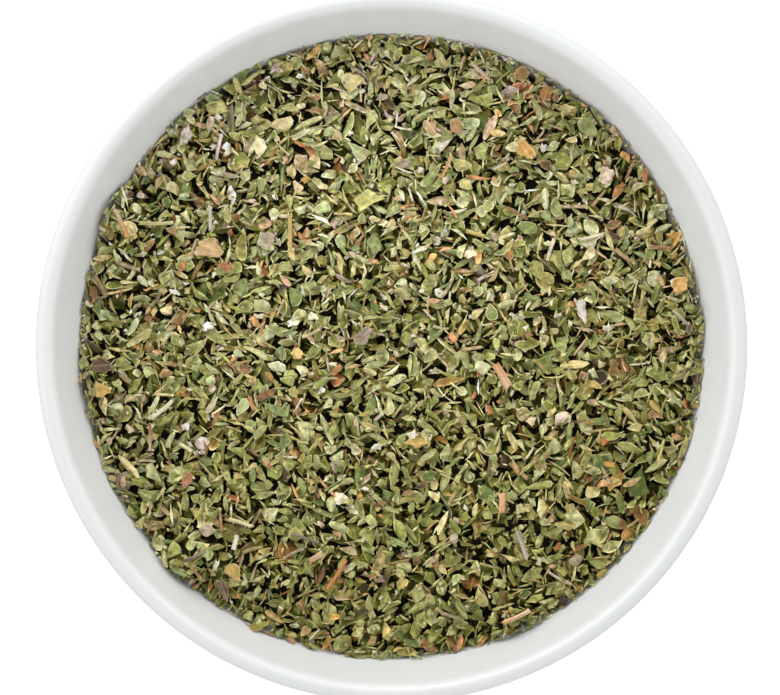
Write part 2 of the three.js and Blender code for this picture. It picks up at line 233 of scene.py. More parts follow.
def bare_clay_material():
    return tinted_material(
        "bare_porcelain", low=(222, 217, 207), high=(233, 229, 221), scale=90,
        roughness=(0.7, 0.85), bump_depth=0.00006)


# The core's near-black colour is painted shade: it stands for the flakes deep in the heap, in shadow.
def painted_shade_core_material():
    return tinted_material(
        "herb_core_painted_shade", low=(15, 14, 8), high=(34, 32, 17), scale=500,
        roughness=(0.85, 0.95), bump_depth=0.0003)


def vein_node(nodes, links, spacing):
    """How much a point lies on the midrib, on a side vein or on the margin of its leaf, from 0 to 1."""
    place = nodes.new("ShaderNodeAttribute")
    place.attribute_name = "herb_place"
    split = nodes.new("ShaderNodeSeparateXYZ")
    links.new(place.outputs["Vector"], split.inputs["Vector"])
    along, across, edge = split.outputs
    across = math_node(nodes, links, "ABSOLUTE", across)
    slant = math_node(nodes, links, "MULTIPLY_ADD", across, -VEIN_SLANT, along)
    turn = math_node(nodes, links, "MULTIPLY", slant, 2 * math.pi / spacing)
    wave = math_node(nodes, links, "SINE", turn)
    midrib_fade = [share * spacing for share in MIDRIB_FADE]
    side_end = [share * spacing for share in SIDE_VEIN_END]
    midrib = range_node(nodes, links, across, 1, 0, midrib_fade, smooth=True)
    side = range_node(nodes, links, wave, 0, SIDE_VEIN_STRENGTH, SIDE_VEIN_FADE, smooth=True)
    near = range_node(nodes, links, across, 1, 0, side_end)
    margin = range_node(nodes, links, edge, 0, MARGIN_STRENGTH, MARGIN_FADE, smooth=True)
    side = math_node(nodes, links, "MULTIPLY", side, near)
    lines = math_node(nodes, links, "MAXIMUM", midrib, side)
    return math_node(nodes, links, "MAXIMUM", lines, margin)


def dry_plant_material(name, grain_scale, grain, roughness, bump_depth, spacing, lift):
    """Dry plant matter: its colour is painted on the mesh, with paler veins and a fine grain.

    Veins and margins are paler by the three factors of the lift. The spacing of side veins is in
    millimetres, and the depth of the bumps in metres."""
    material, nodes, links, shader = node_material(name)
    painted = nodes.new("ShaderNodeVertexColor")
    painted.layer_name = "herb_colour"
    grains = noise_node(nodes, links, grain_scale, 5)
    veins = vein_node(nodes, links, spacing)
    pale = nodes.new("ShaderNodeMix")
    pale.data_type = "RGBA"
    pale.inputs[MIX_FIRST].default_value = (1, 1, 1, 1)
    pale.inputs[MIX_SECOND].default_value = (*lift, 1)
    links.new(veins, pale.inputs[MIX_SHARE])
    grainy = multiply_node(nodes, links, painted.outputs["Color"], range_node(nodes, links, grains, *grain))
    colour = multiply_node(nodes, links, grainy, pale.outputs[MIX_RESULT])
    height = math_node(nodes, links, "MULTIPLY_ADD", veins, VEIN_HEIGHT, grains)
    normal = bump_node(nodes, links, height, bump_depth, DRY_GRAIN_STRENGTH)
    links.new(colour, shader.inputs["Base Color"])
    links.new(range_node(nodes, links, grains, *roughness), shader.inputs["Roughness"])
    links.new(normal, shader.inputs["Normal"])
    shader.inputs["Specular IOR Level"].default_value = DRY_SPECULAR
    return material


# Meshes

def new_piece(name, points, faces, materials, stands_for):
    """A mesh from points in millimetres, that rides with the bowl and stands for CAD nodes."""
    mesh = bpy.data.meshes.new(name)
    faces = np.asarray(faces, np.int32)
    corners = faces.shape[1]
    mesh.vertices.add(len(points))
    mesh.vertices.foreach_set("co", (points * MM).astype(np.float32).ravel())
    mesh.loops.add(faces.size)
    mesh.loops.foreach_set("vertex_index", faces.ravel())
    mesh.polygons.add(len(faces))
    mesh.polygons.foreach_set("loop_start", np.arange(0, faces.size, corners, dtype=np.int32))
    mesh.update(calc_edges=True)
    for material in materials:
        mesh.materials.append(material)
    piece = bpy.data.objects.new(name, mesh)
    bpy.context.scene.collection.objects.link(piece)
    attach(piece, "root")
    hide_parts(*stands_for)
    return piece


def paint_piece(piece, paints):
    """Paints points with their colours, and with their places among the veins of their leaf."""
    attribute = piece.data.attributes.new("herb_colour", "FLOAT_COLOR", "POINT")
    values = np.ones((len(paints), 4), np.float32)
    values[:, :3] = np.clip(paints[:, :3], 0, 1)
    attribute.data.foreach_set("color", values.ravel())
    attribute = piece.data.attributes.new("herb_place", "FLOAT_VECTOR", "POINT")
    attribute.data.foreach_set("vector", paints[:, 3:].astype(np.float32).ravel())


def crease_piece(piece, *marks):
    """Makes the edges sharp whose two ends both have the same mark."""
    ends = np.zeros(2 * len(piece.data.edges), np.int32)
    piece.data.edges.foreach_get("vertices", ends)
    sharp = np.any([mark[ends.reshape(-1, 2)].all(axis=1) for mark in marks], axis=0)
    piece.data.attributes.new("sharp_edge", "BOOLEAN", "EDGE").data.foreach_set("value", sharp)


def split_quads(quads):
    """Two triangles for each face of four corners."""
    return np.concatenate([quads[:, [0, 1, 2]], quads[:, [0, 2, 3]]])


def ring_points(rings, sides, first=0):
    """The numbers of the points of rings, and of the next point round each ring."""
    index = first + np.arange(rings * sides).reshape(rings, sides)
    return index, np.roll(index, -1, axis=1)


def ring_faces(index, after):
    """Triangles between each ring and the next."""
    return split_quads(np.stack([index[:-1], index[1:], after[1:], after[:-1]], axis=-1).reshape(-1, 4))


def around(sides):
    """Angles at even steps round a full turn."""
    return 2 * math.pi * np.arange(sides) / sides


# The bowl

def lip_curve(turn):
    """Points of the lip, at angles from its outermost point over its top to the inner wall."""
    across, down = np.where(np.reshape(turn, (-1, 1)) > math.pi / 2, LIP_FALL, LIP_ROUND).T
    out = rim_radius - LIP_ROUND + across * np.cos(turn)
    return np.stack([out, bowl_height - down + down * np.sin(turn)], axis=-1)


def wall_curve(share):
    """Points of the wall's inner side, from the lip down to the flat floor, as radius and height."""
    share = np.asarray(share, float)[:, None]
    top = lip_curve(LIP_END)
    upper = top - WALL_DROP * np.array([math.sin(WALL_LEAN), math.cos(WALL_LEAN)])
    lower = np.array([FLAT_FLOOR_RADIUS + FLOOR_SPREAD, INNER_FLOOR + FLOOR_RISE])
    floor = np.array([FLAT_FLOOR_RADIUS, INNER_FLOOR])
    rest = 1 - share
    return rest**3 * top + 3 * rest**2 * share * upper + 3 * rest * share**2 * lower + share**3 * floor


def beside_wall(share, distance):
    """Points beside the inner wall, inside the bowl, or in the wall where the distance is negative."""
    nearby = 1e-4
    along = wall_curve(np.minimum(share + nearby, 1)) - wall_curve(np.maximum(share - nearby, 0))
    inwards = np.stack([along[:, 1], -along[:, 0]], axis=1)
    inwards /= np.linalg.norm(inwards, axis=1, keepdims=True)
    return wall_curve(share) + inwards * np.reshape(distance, (-1, 1))


wall_table = wall_curve(np.linspace(0, 1, WALL_SAMPLES))[::-1]


def wall_radius(height):
    return np.interp(height, wall_table[:, 1], wall_table[:, 0])


def wall_height(radius):
    return np.interp(radius, wall_table[:, 0], wall_table[:, 1])


def rounded_corner(before, corner, after, reach, steps):
    """Points of a curve that rounds a corner, from a reach before it to the same reach after it."""
    before, corner, after = (np.array(point, float) for point in (before, corner, after))
    start = corner + (before - corner) / np.linalg.norm(before - corner) * reach
    end = corner + (after - corner) / np.linalg.norm(after - corner) * reach
    share = np.linspace(0, 1, steps)[:, None]
    return (1 - share) ** 2 * start + 2 * share * (1 - share) * corner + share**2 * end


def bowl_profile():
    """The bowl's section, from the middle of its underside round the lip to the middle of its floor."""
    ring_inside = FOOT_RADIUS - FOOT_RING_WIDTH
    foot = [(0, FOOT_RECESS), (ring_inside - FOOT_EDGE, FOOT_RECESS), (ring_inside, 0),
            (FOOT_RADIUS - FOOT_EDGE, 0), (FOOT_RADIUS, FOOT_EDGE)]
    outer_share = np.linspace(FOOT_SHARE, 0, OUTER_STEPS)
    outer = beside_wall(outer_share, -mix(LIP_THICKNESS, BASE_THICKNESS, outer_share))
    recess = [(radius, FOOT_RECESS) for radius in np.linspace(0, ring_inside - RECESS_EDGE, RECESS_STEPS)]
    corners = [*foot, outer[0]]
    under = [rounded_corner(*corners[number:number + 3], reach, steps)
             for number, (reach, steps) in enumerate(FOOT_ROUNDS)]
    lip = lip_curve(np.append(np.linspace(0, math.pi / 2, LIP_STEPS[0]),
                              np.linspace(math.pi / 2, LIP_END, LIP_STEPS[1])[1:-1]))
    inner = wall_curve(np.linspace(0, 1, INNER_STEPS))
    floor = [(radius, INNER_FLOOR) for radius in np.linspace(FLAT_FLOOR_RADIUS, 0, FLOOR_STEPS)[1:]]
    return np.concatenate([recess, *under, outer, lip, inner, floor])


def turned_mesh(profile, sides):
    """Points and triangles of a profile turned round Z. Its two ends are on the axis."""
    turn = around(sides)
    rings = profile[1:-1]
    points = np.empty((len(rings), sides, 3))
    points[..., 0] = rings[:, :1] * np.cos(turn)
    points[..., 1] = rings[:, :1] * np.sin(turn)
    points[..., 2] = rings[:, 1:]
    ends = [[0, 0, profile[0][1]], [0, 0, profile[-1][1]]]
    points = np.concatenate([points.reshape(-1, 3), ends])
    index, after = ring_points(len(rings), sides)
    walls = np.stack([index[:-1], after[:-1], after[1:], index[1:]], axis=-1).reshape(-1, 4)
    start, end = len(points) - 2, len(points) - 1
    first = np.stack([np.full(sides, start), after[0], index[0]], axis=1)
    last = np.stack([np.full(sides, end), index[-1], after[-1]], axis=1)
    return points, np.concatenate([first, split_quads(walls), last])


def make_bowl():
    """The bowl as one closed solid, glazed but for the rim of its foot."""
    points, faces = turned_mesh(bowl_profile(), BOWL_SIDES)
    materials = [glaze_material(), bare_clay_material()]
    piece = new_piece("porcelain_bowl", points, faces, materials, ["bowl"])
    middle = points[faces].mean(axis=1)
    is_bare = (middle[:, 2] < UNGLAZED_HEIGHT).astype(np.int32)
    piece.data.polygons.foreach_set("material_index", is_bare)


# The surface that the heap is built up to

RELIEF_STEP = 4  # cells between the places where the CAD bed is measured
RELIEF_MARGIN = 1.5  # it isn't measured this close to the wall
RELIEF_BLUR = 2.4
SHADOW_STEPS = 6  # how finely the faces of a solid are divided for its shadow


def node_points(name):
    """The vertices of a CAD node, in millimetres."""
    mesh = frame["nodes"][name].data
    points = np.zeros(3 * len(mesh.vertices), np.float32)
    mesh.vertices.foreach_get("co", points)
    return points.reshape(-1, 3).astype(float) / MM


def blurred(field, width):
    """A field over the grid, smoothed by a bell curve of a width in millimetres."""
    reach = math.ceil(3 * width / CELL)
    bell = np.exp(-0.5 * (np.arange(-reach, reach + 1) * CELL / width) ** 2)
    bell /= bell.sum()
    padded = np.pad(field, reach, mode="edge")
    rows = np.apply_along_axis(np.convolve, 0, padded, bell, mode="valid")
    return np.apply_along_axis(np.convolve, 1, rows, bell, mode="valid")


def crowned_height(radius):
    """The mean height of the heap's surface, which is crowned."""
    fill_radius = wall_radius(FILL_HEIGHT)
    return FILL_HEIGHT + CROWN * (1 - (radius / fill_radius) ** 2)


def bed_relief():
    """How far the CAD bed stands above its crowned mean surface, smoothed, over the grid."""
    faces = [tuple(face.vertices) for face in frame["nodes"]["oregano_bed"].data.polygons]
    tree = BVHTree.FromPolygons(node_points("oregano_bed").tolist(), faces)
    relief = np.zeros_like(grid_x)
    for row in range(0, CELLS, RELIEF_STEP):
        for column in range(0, CELLS, RELIEF_STEP):
            radius = grid_radius[row, column]
            if radius > wall_radius(FILL_HEIGHT) - RELIEF_MARGIN:
                continue
            start = Vector((grid_line[row], grid_line[column], bowl_height))
            hit = tree.ray_cast(start, Vector((0, 0, -1)))[0]
            if hit:
                block = (slice(row, row + RELIEF_STEP), slice(column, column + RELIEF_STEP))
                relief[block] = hit.z - crowned_height(radius)
    return blurred(relief, RELIEF_BLUR)


def grid_index(places):
    """The rows and columns of the grid's cells that places lie in."""
    index = np.rint((places + GRID_REACH) / CELL).astype(int)
    return tuple(np.moveaxis(np.clip(index, 0, CELLS - 1), -1, 0))


def shadow_of(points, faces):
    """The cells below a solid, and the height of its underside over each."""
    steps = SHADOW_STEPS
    parts = [(a, b, steps - a - b) for a in range(steps + 1) for b in range(steps + 1 - a)]
    shares = np.array(parts) / steps
    spots = np.einsum("sk,fkc->fsc", shares, points[faces]).reshape(-1, 3)
    under = np.full_like(grid_x, np.inf)
    np.minimum.at(under, grid_index(spots[:, :2]), spots[:, 2])
    return under


# Flakes. A kind of flake has control points on a thin sheet, or on a tube, and matrices that turn
# them into the spots that are tested against the heap.

RING_SHARE = 0.78  # how far out the inner ring of a flake's control points lies
RING_DRIFT = (0.92, 1.08)  # by which factors that varies
SIZE_SKEW = 1.5
LEAF_TAPER = (0.05, 0.45)  # how much narrower small leaves are at the tip than at the base
TIP_REACH = (0, 0.12)
TIP_SHARPNESS = 6
SIDE_PINCH = (0, 0.7)
OUTLINE_ROUGHNESS = 0.025
OUTLINE_WAVES = (2, 3, 5)  # round an outline
OUTLINE_WAVE_DEPTH = 0.035
SHARD_SHIFT = 0.38  # how far a shard's corners are off even steps, in steps
SHARD_REACH = (0.25, 0.66)
SHARD_SIDES = (1.02, 0.12)  # mean and spread of how far its sides bulge
HUSK_REACH = (0.2, 0.55)
UNCUT = 9  # farther out than any outline reaches
CUT_ROUGHNESS = 0.02
TORN_STRETCH = 1.1  # a torn outline falls short of its size by this factor
TWIG_THICKNESS = (0.3, 0.75)
TWIG_ROUGHNESS = 0.08
TWIG_END = 0.1  # how unevenly the ends of a twig are broken
DISC_SPAN = (0.22, 0.45)  # half the width and height of a flake's face in its cell of the texture map
TUBE_SPAN = [(0.06, 0.94), (0.08, 0.92)]  # where a tube's side lies in its cell, across and along
TUBE_ENDS = (0.03, 0.97)  # and where its two ends lie, along
TUBE_STEPS = 4  # spots along a tube for each of its rings
TINY = 1e-9  # keeps a division by a length from failing where the length is 0


class DiscKind:
    """A thin flake: a middle, an inner ring and an outline, with a face above and one below.

    It is creased along its midrib, or between all its faces if it is crumpled."""

    def __init__(self, sides, is_crumpled=False):
        self.sides = sides
        side = np.arange(sides)
        after = (side + 1) % sides
        inner, outer, lower = 1 + side, 1 + sides + side, 1 + 2 * sides + side
        inner_after, outer_after, lower_after = 1 + after, 1 + sides + after, 1 + 2 * sides + after
        middle, bottom = np.zeros(sides, int), np.full(sides, 1 + 3 * sides)
        self.sheet = np.concatenate([
            np.stack([middle, inner, inner_after], 1),
            np.stack([inner, outer, outer_after], 1),
            np.stack([inner, outer_after, inner_after], 1)])
        below = np.concatenate([
            np.stack([bottom, lower_after, lower], 1),
            np.stack([lower, outer_after, outer], 1),
            np.stack([lower, lower_after, outer_after], 1)])
        self.faces = np.concatenate([self.sheet, below])
        self.on_edge = np.zeros(2 + 3 * sides, bool)
        self.on_edge[outer] = True
        self.on_fold = np.full(2 + 3 * sides, is_crumpled)
        for points in (inner, outer, lower):
            self.on_fold[points[[0, sides // 2]]] = True
        self.on_fold[[0, -1]] = True
        self.edge = np.repeat([0, RING_SHARE, 1], [1, sides, sides])
        self.control = np.concatenate([np.arange(1 + 2 * sides), inner, [0]])
        self.samples = self._samples(inner, inner_after, outer, outer_after)
        self.corner_map = self._corner_map()

    def _samples(self, inner, inner_after, outer, outer_after):
        """Shares of the control points in spots on the rings, between them and at the middle."""
        rows = [{0: 1.0}]
        for a, b, c, d in zip(inner, inner_after, outer, outer_after):
            for low, high in ((a, a), (a, b)):
                far = (c, c) if low == high else (c, d)
                rows.append({0: 0.5, low: 0.25, high: 0.25})
                rows.append({low: 0.5, high: 0.5})
                rows.append({low: 0.25, high: 0.25, far[0]: 0.25, far[1]: 0.25})
                rows.append({far[0]: 0.5, far[1]: 0.5})
        matrix = np.zeros((len(rows), 1 + 2 * self.sides))
        for row, shares in enumerate(rows):
            for column, share in shares.items():
                matrix[row, column] = share
        return matrix / matrix.sum(axis=1, keepdims=True)

    def _corner_map(self):
        """Where each face's corners lie in a flake's cell of the texture map, both from 0 to 1."""
        turn = around(self.sides)
        ring = np.stack([np.sin(turn), np.cos(turn)], axis=1)
        flat = np.concatenate([[[0, 0]], RING_SHARE * ring, ring, RING_SHARE * ring, [[0, 0]]])
        is_below = np.repeat([0, 1], len(self.sheet))[:, None]
        across = 0.25 + 0.5 * is_below + DISC_SPAN[0] * flat[self.faces][..., 0]
        return np.stack([across, 0.5 + DISC_SPAN[1] * flat[self.faces][..., 1]], axis=-1)

    def solids(self, points, thickness):
        """The closed solids about sheets of control points."""
        a, b, c = (points[:, self.sheet[:, corner]] for corner in range(3))
        facing = np.cross(b - a, c - a)
        normals = np.zeros_like(points)
        for corner in range(3):
            np.add.at(normals, (slice(None), self.sheet[:, corner]), facing)
        normals /= np.maximum(np.linalg.norm(normals, axis=2, keepdims=True), TINY)
        offset = normals * thickness[:, None, None] / 2
        inside = slice(0, 1 + self.sides)
        upper = points[:, inside] + offset[:, inside]
        lower = (points - offset)[:, inside]
        return np.concatenate([upper, points[:, 1 + self.sides:], lower[:, 1:], lower[:, :1]], axis=1)


class TubeKind:
    """A short round piece: rings of control points, and a middle at each end."""

    def __init__(self, sides, rings):
        self.sides, self.rings = sides, rings
        index, after = ring_points(rings, sides)
        start, end = sides * rings, sides * rings + 1
        first = np.stack([np.full(sides, start), index[0], after[0]], axis=1)
        last = np.stack([np.full(sides, end), after[-1], index[-1]], axis=1)
        self.faces = np.concatenate([ring_faces(index, after), first, last])
        self.on_edge = np.zeros(sides * rings + 2, bool)
        self.on_edge[index[0]] = True
        self.on_edge[index[-1]] = True
        self.on_fold = np.zeros_like(self.on_edge)
        self.edge = np.zeros(len(self.on_edge))
        self.control = np.arange(len(self.on_edge))
        self.samples = self._samples(index)
        self.corner_map = self._corner_map()

    def _samples(self, index):
        """Shares of the control points in spots along the tube's sides."""
        rows = []
        for low, high in zip(index[:-1], index[1:]):
            for share in np.arange(TUBE_STEPS) / TUBE_STEPS:
                for a, b in zip(low, high):
                    row = np.zeros(index.size + 2)
                    row[a] = 1 - share
                    row[b] += share
                    rows.append(row)
        return np.array(rows)

    def _corner_map(self):
        """Where each face's corners lie in a tube's cell of the texture map, both from 0 to 1."""
        side = np.append(np.tile(np.arange(self.sides), self.rings), [0, 0])
        ring = np.append(np.repeat(np.arange(self.rings), self.sides), [0, self.rings - 1])
        across = side[self.faces].astype(float)
        wraps = (across.max(axis=1, keepdims=True) == self.sides - 1) & (across == 0)
        across[wraps & (self.faces < self.sides * self.rings)] = self.sides
        along = ring[self.faces] / (self.rings - 1)
        is_cap = (self.faces >= self.sides * self.rings).any(axis=1)
        cap = np.where(along > 0.5, TUBE_ENDS[1], TUBE_ENDS[0])
        across = mix(*TUBE_SPAN[0], across / self.sides)
        return np.stack([across, np.where(is_cap[:, None], cap, mix(*TUBE_SPAN[1], along))], axis=-1)

    def solids(self, points, thickness):
        """A tube's control points are its solid already."""
        return points


def cut_outline(outline, share, depth):
    """Tears a share of the flakes off along a straight line with a rough edge."""
    count = len(outline)
    turn = draw.uniform(0, 2 * math.pi, count)
    side = np.stack([np.cos(turn), np.sin(turn)], axis=1)[:, None]
    line = draw.uniform(*depth, count)[:, None] + draw.normal(0, CUT_ROUGHNESS, outline.shape[:2])
    line = np.where(draw.random(count)[:, None] < share, line, UNCUT)
    past = np.maximum((outline * side).sum(axis=2) - line, 0)
    return outline - past[..., None] * side


def ovate_outline(count, sides):
    """A small leaf of length and width 1, broad at its base and pointed at its tip."""
    turn = np.broadcast_to(around(sides), (count, sides))
    taper = draw.uniform(*LEAF_TAPER, (count, 1))
    tip = draw.uniform(*TIP_REACH, (count, 1)) * np.maximum(np.cos(turn), 0) ** TIP_SHARPNESS
    uneven = draw.normal(1, OUTLINE_ROUGHNESS, (count, sides))
    for waves in OUTLINE_WAVES:
        phase = draw.uniform(0, 2 * math.pi, (count, 1))
        depth = draw.normal(0, OUTLINE_WAVE_DEPTH, (count, 1))
        uneven = uneven + depth * np.cos(waves * turn + phase)
    x = (0.5 * np.cos(turn) + tip) * uneven
    narrow = np.abs(np.sin(turn)) ** draw.uniform(*SIDE_PINCH, (count, 1))
    y = 0.5 * np.sin(turn) * narrow * (1 - taper * np.cos(turn)) * uneven
    return np.stack([x, y], axis=-1)


def shard_outline(count, sides):
    """A torn piece of leaf: corners at uneven places, with rough edges between them."""
    corners = sides // 2
    place = np.arange(corners) + draw.uniform(-SHARD_SHIFT, SHARD_SHIFT, (count, corners))
    turn = 2 * math.pi * place / corners
    reach = draw.uniform(*SHARD_REACH, (count, corners))
    corner = np.stack([reach * np.cos(turn), reach * np.sin(turn)], axis=-1)
    between = (corner + np.roll(corner, -1, axis=1)) / 2
    between = between * draw.normal(*SHARD_SIDES, (count, corners, 1))
    return np.stack([corner, between], axis=2).reshape(count, sides, 2)


def husk_outline(count, sides):
    """A pale scrap with a deeply cut edge."""
    turn = around(sides)
    reach = draw.uniform(*HUSK_REACH, (count, sides))
    return np.stack([reach * np.cos(turn), reach * np.sin(turn)], axis=-1)


def sheet_points(outline, size):
    """Control points of flat sheets with these outlines, and with a length and a width."""
    spread = outline * size[:, None]
    middle = spread.mean(axis=1, keepdims=True)
    inner = mix(middle, spread, RING_SHARE * draw.uniform(*RING_DRIFT, (len(outline), 1, 1)))
    return np.concatenate([middle, inner, spread], axis=1)


def bent_sheet(flat, bow, cup, twist, fold, ripple):
    """Bends sheets along and across, twists them, folds them at the midrib and crumples them."""
    x, y = flat[..., 0], flat[..., 1]
    rise = bow * x**2 + cup * y**2 + twist * x * y + fold * np.abs(y)
    rise = rise + draw.normal(0, ripple, x.shape)
    return np.stack([x, y, rise], axis=-1)


def rolled_sheet(flat, size, roll, bow):
    """Rolls sheets up along their length, by an angle in all, and bows them."""
    radius = (size[:, 1] / roll)[:, None]
    x, y = flat[..., 0], flat[..., 1]
    rise = radius * (1 - np.cos(y / radius)) + bow * x**2
    return np.stack([x, radius * np.sin(y / radius), rise], axis=-1)


def flake_sizes(count, length, slenderness):
    """Lengths and widths of flakes, more of them short than long."""
    long = mix(*length, draw.random(count) ** SIZE_SKEW)
    return np.stack([long, long * draw.uniform(*slenderness, count)], axis=1)


def bend(size, low, high):
    """A random bend for each of the flakes with these sizes."""
    return draw.uniform(low, high, (len(size), 1))


def either_bend(size, most):
    """A random bend, up or down, for each of the flakes with these sizes."""
    bends = bend(size, 0, most)
    return bends * draw.choice([-1, 1], bends.shape)


def bract_forms(size, kind):
    """Cupped bracts, folded at the midrib, and most of them torn."""
    outline = cut_outline(ovate_outline(len(size), kind.sides), 0.6, (0.0, 0.35))
    flat = sheet_points(outline, size)
    cup = bend(size, 0.08, 0.45)
    return bent_sheet(flat, bow=bend(size, 0, 0.25), cup=cup, twist=either_bend(size, 0.15),
                      fold=bend(size, 0, 0.6), ripple=0.05)


def shard_forms(size, kind):
    """Torn pieces of leaf, bent and folded either way."""
    flat = sheet_points(shard_outline(len(size), kind.sides), size)
    bends = [either_bend(size, 0.25) for _ in range(3)]
    return bent_sheet(flat, *bends, fold=either_bend(size, 0.6), ripple=0.08)


def rolled_forms(size, kind):
    """Small leaves that rolled up as they dried."""
    outline = cut_outline(ovate_outline(len(size), kind.sides), 0.5, (0.25, 0.45))
    flat = sheet_points(outline, size)
    return rolled_sheet(flat, size, roll=draw.uniform(1.2, 3.4, len(size)), bow=either_bend(size, 0.06))


def sliver_forms(size, kind):
    """Narrow torn pieces, curled across."""
    flat = sheet_points(shard_outline(len(size), kind.sides), size * TORN_STRETCH)
    return bent_sheet(flat, bow=either_bend(size, 0.16), cup=either_bend(size, 0.6),
                      twist=either_bend(size, 0.3), fold=0, ripple=0.03)


def crumb_forms(size, kind):
    """Small, much bent crumbs."""
    flat = sheet_points(shard_outline(len(size), kind.sides), size)
    bends = [either_bend(size, 0.5) for _ in range(3)]
    return bent_sheet(flat, *bends, fold=0, ripple=0.07)


def husk_forms(size, kind):
    """Pale crumpled husks of flowers."""
    flat = sheet_points(husk_outline(len(size), kind.sides), size * TORN_STRETCH)
    bends = [either_bend(size, 0.4) for _ in range(3)]
    return bent_sheet(flat, *bends, fold=0, ripple=0.09)


def twig_forms(size, kind):
    """Bits of stalk: slightly bowed rods with broken ends."""
    count = len(size)
    length = size[:, 0, None, None]
    radius = np.clip(size[:, 1, None, None], *TWIG_THICKNESS) / 2
    along = np.linspace(-0.5, 0.5, kind.rings)[:, None] * np.ones(kind.sides)
    is_end = np.abs(along) == 0.5
    turn = around(kind.sides)
    thick = radius * draw.normal(1, TWIG_ROUGHNESS, (count, kind.rings, kind.sides))
    x = length * along + is_end * draw.normal(0, TWIG_END, (count, kind.rings, kind.sides))
    bow = either_bend(size, 0.05)[..., None] * length
    y = thick * np.cos(turn) + bow * (1 - 4 * along**2)
    z = thick * np.sin(turn)
    body = np.stack([x, y, z], axis=-1).reshape(count, -1, 3)
    ends = np.stack([body[:, : kind.sides].mean(axis=1), body[:, -kind.sides:].mean(axis=1)], axis=1)
    return np.concatenate([body, ends], axis=1)


# Tones as a screen shows them. A flake's colour is a mix of two tones of its family.
TONES = {
    "bract": [(216, 212, 165), (202, 199, 145), (186, 187, 123), (167, 170, 95), (208, 193, 138),
              (174, 181, 130), (160, 170, 108)],
    "shard": [(196, 193, 141), (176, 176, 109), (154, 157, 82), (131, 136, 63), (190, 175, 112),
              (146, 156, 94), (172, 176, 128)],
    "rolled": [(172, 176, 120), (150, 156, 94), (128, 135, 72), (190, 190, 140), (158, 148, 84)],
    "sliver": [(216, 210, 156), (182, 178, 110), (153, 156, 77), (230, 222, 180), (204, 188, 126)],
    "crumb": [(207, 203, 152), (171, 169, 100), (136, 135, 65), (226, 218, 182), (150, 118, 74)],
    "twig": [(206, 190, 150), (168, 140, 100), (222, 212, 186), (134, 112, 84), (180, 158, 114)],
    "husk": [(230, 223, 196), (222, 215, 184), (210, 202, 168)],
    "straw": [(220, 200, 142), (208, 184, 118), (226, 212, 162)],
    "ochre": [(200, 166, 94), (184, 152, 82), (206, 176, 108)],
    "tan": [(204, 174, 134), (194, 160, 116), (210, 184, 148)],
    "brown": [(166, 126, 88), (144, 108, 74), (184, 146, 104)],
    "umber": [(122, 100, 82), (106, 84, 66), (138, 116, 96)],
    "dark": [(88, 66, 48), (104, 84, 62), (70, 54, 44)],
    "rust": [(190, 124, 76), (204, 142, 86), (172, 110, 66)],
    "brick": [(168, 104, 74), (154, 92, 62), (180, 120, 90)],
    "peach": [(216, 156, 108), (208, 146, 96), (220, 170, 124)],
    "salmon": [(212, 176, 138), (222, 192, 158), (202, 160, 122)],
    "blush": [(208, 184, 162), (216, 196, 176), (198, 168, 144)],
    "mauve": [(170, 152, 138), (188, 172, 156), (150, 132, 120)],
    "grey": [(150, 144, 132), (132, 126, 114), (168, 160, 148)],
    "pale": [(214, 208, 202), (204, 194, 188), (222, 218, 210)],
    "cream": [(228, 219, 192), (218, 208, 176), (234, 227, 206)],
    "green": [(120, 134, 76), (136, 149, 90), (102, 118, 62), (150, 160, 102)],
    "olive": [(160, 156, 84), (174, 168, 98), (140, 136, 70)],
    "amber": [(222, 174, 104), (212, 160, 88), (228, 188, 122)],
    "magenta": [(146, 60, 92), (160, 80, 104)],
}
MARGIN_TONE = linear((234, 230, 176))
PITH_TONE = linear((228, 219, 192))
UNDERSIDE_TONE = linear((192, 194, 150))
STALE_TONES = linear([(150, 112, 70), (190, 130, 76), (204, 172, 108), (118, 86, 62)])
SHADE_HUE = np.array([1, 1, 2.2])  # blue fades faster than the rest where a colour gets darker
TINT_HUE = np.array([1, 1, 1.5])  # and it grows faster where a colour gets paler
FLAKE_SPREAD = 0.2  # how much flakes of one tone differ in how light they are
POINT_SPREAD = 0.15  # and how much the points of one flake do
STREAK_SPREAD = 0.12  # and the streaks along a twig
STALE_RANGE = (0.2, 0.9)  # how far down from its middle a flake's stale end begins, and is full
STALE_RING = 0.5  # how stale the inner ring is, beside the edge
STALE_SHARE = (0.4, 1)  # of a stale tone, in the flakes that have one
UNDERSIDE_SHARE = (0.4, 1)  # of what is usual for the family
MARGIN_SHARE = (0.2, 1)
PITH_SHARE = 0.6
FLIPPED_SHARE = 0.45


def shaded(colours, shade):
    """Colours made darker or paler by a factor, with the drift in hue that goes with it."""
    shade = shade[..., None]
    return colours * shade ** np.where(shade < 1, SHADE_HUE, TINT_HUE)


def flake_colours(family, count, spread=FLAKE_SPREAD):
    """A mix of two tones of a family for each flake, a little darker or paler."""
    tones = linear(TONES[family])
    first = tones[draw.integers(len(tones), size=count)]
    second = tones[draw.integers(len(tones), size=count)]
    return shaded(mix(first, second, draw.random((count, 1))), np.exp(draw.normal(0, spread, count)))


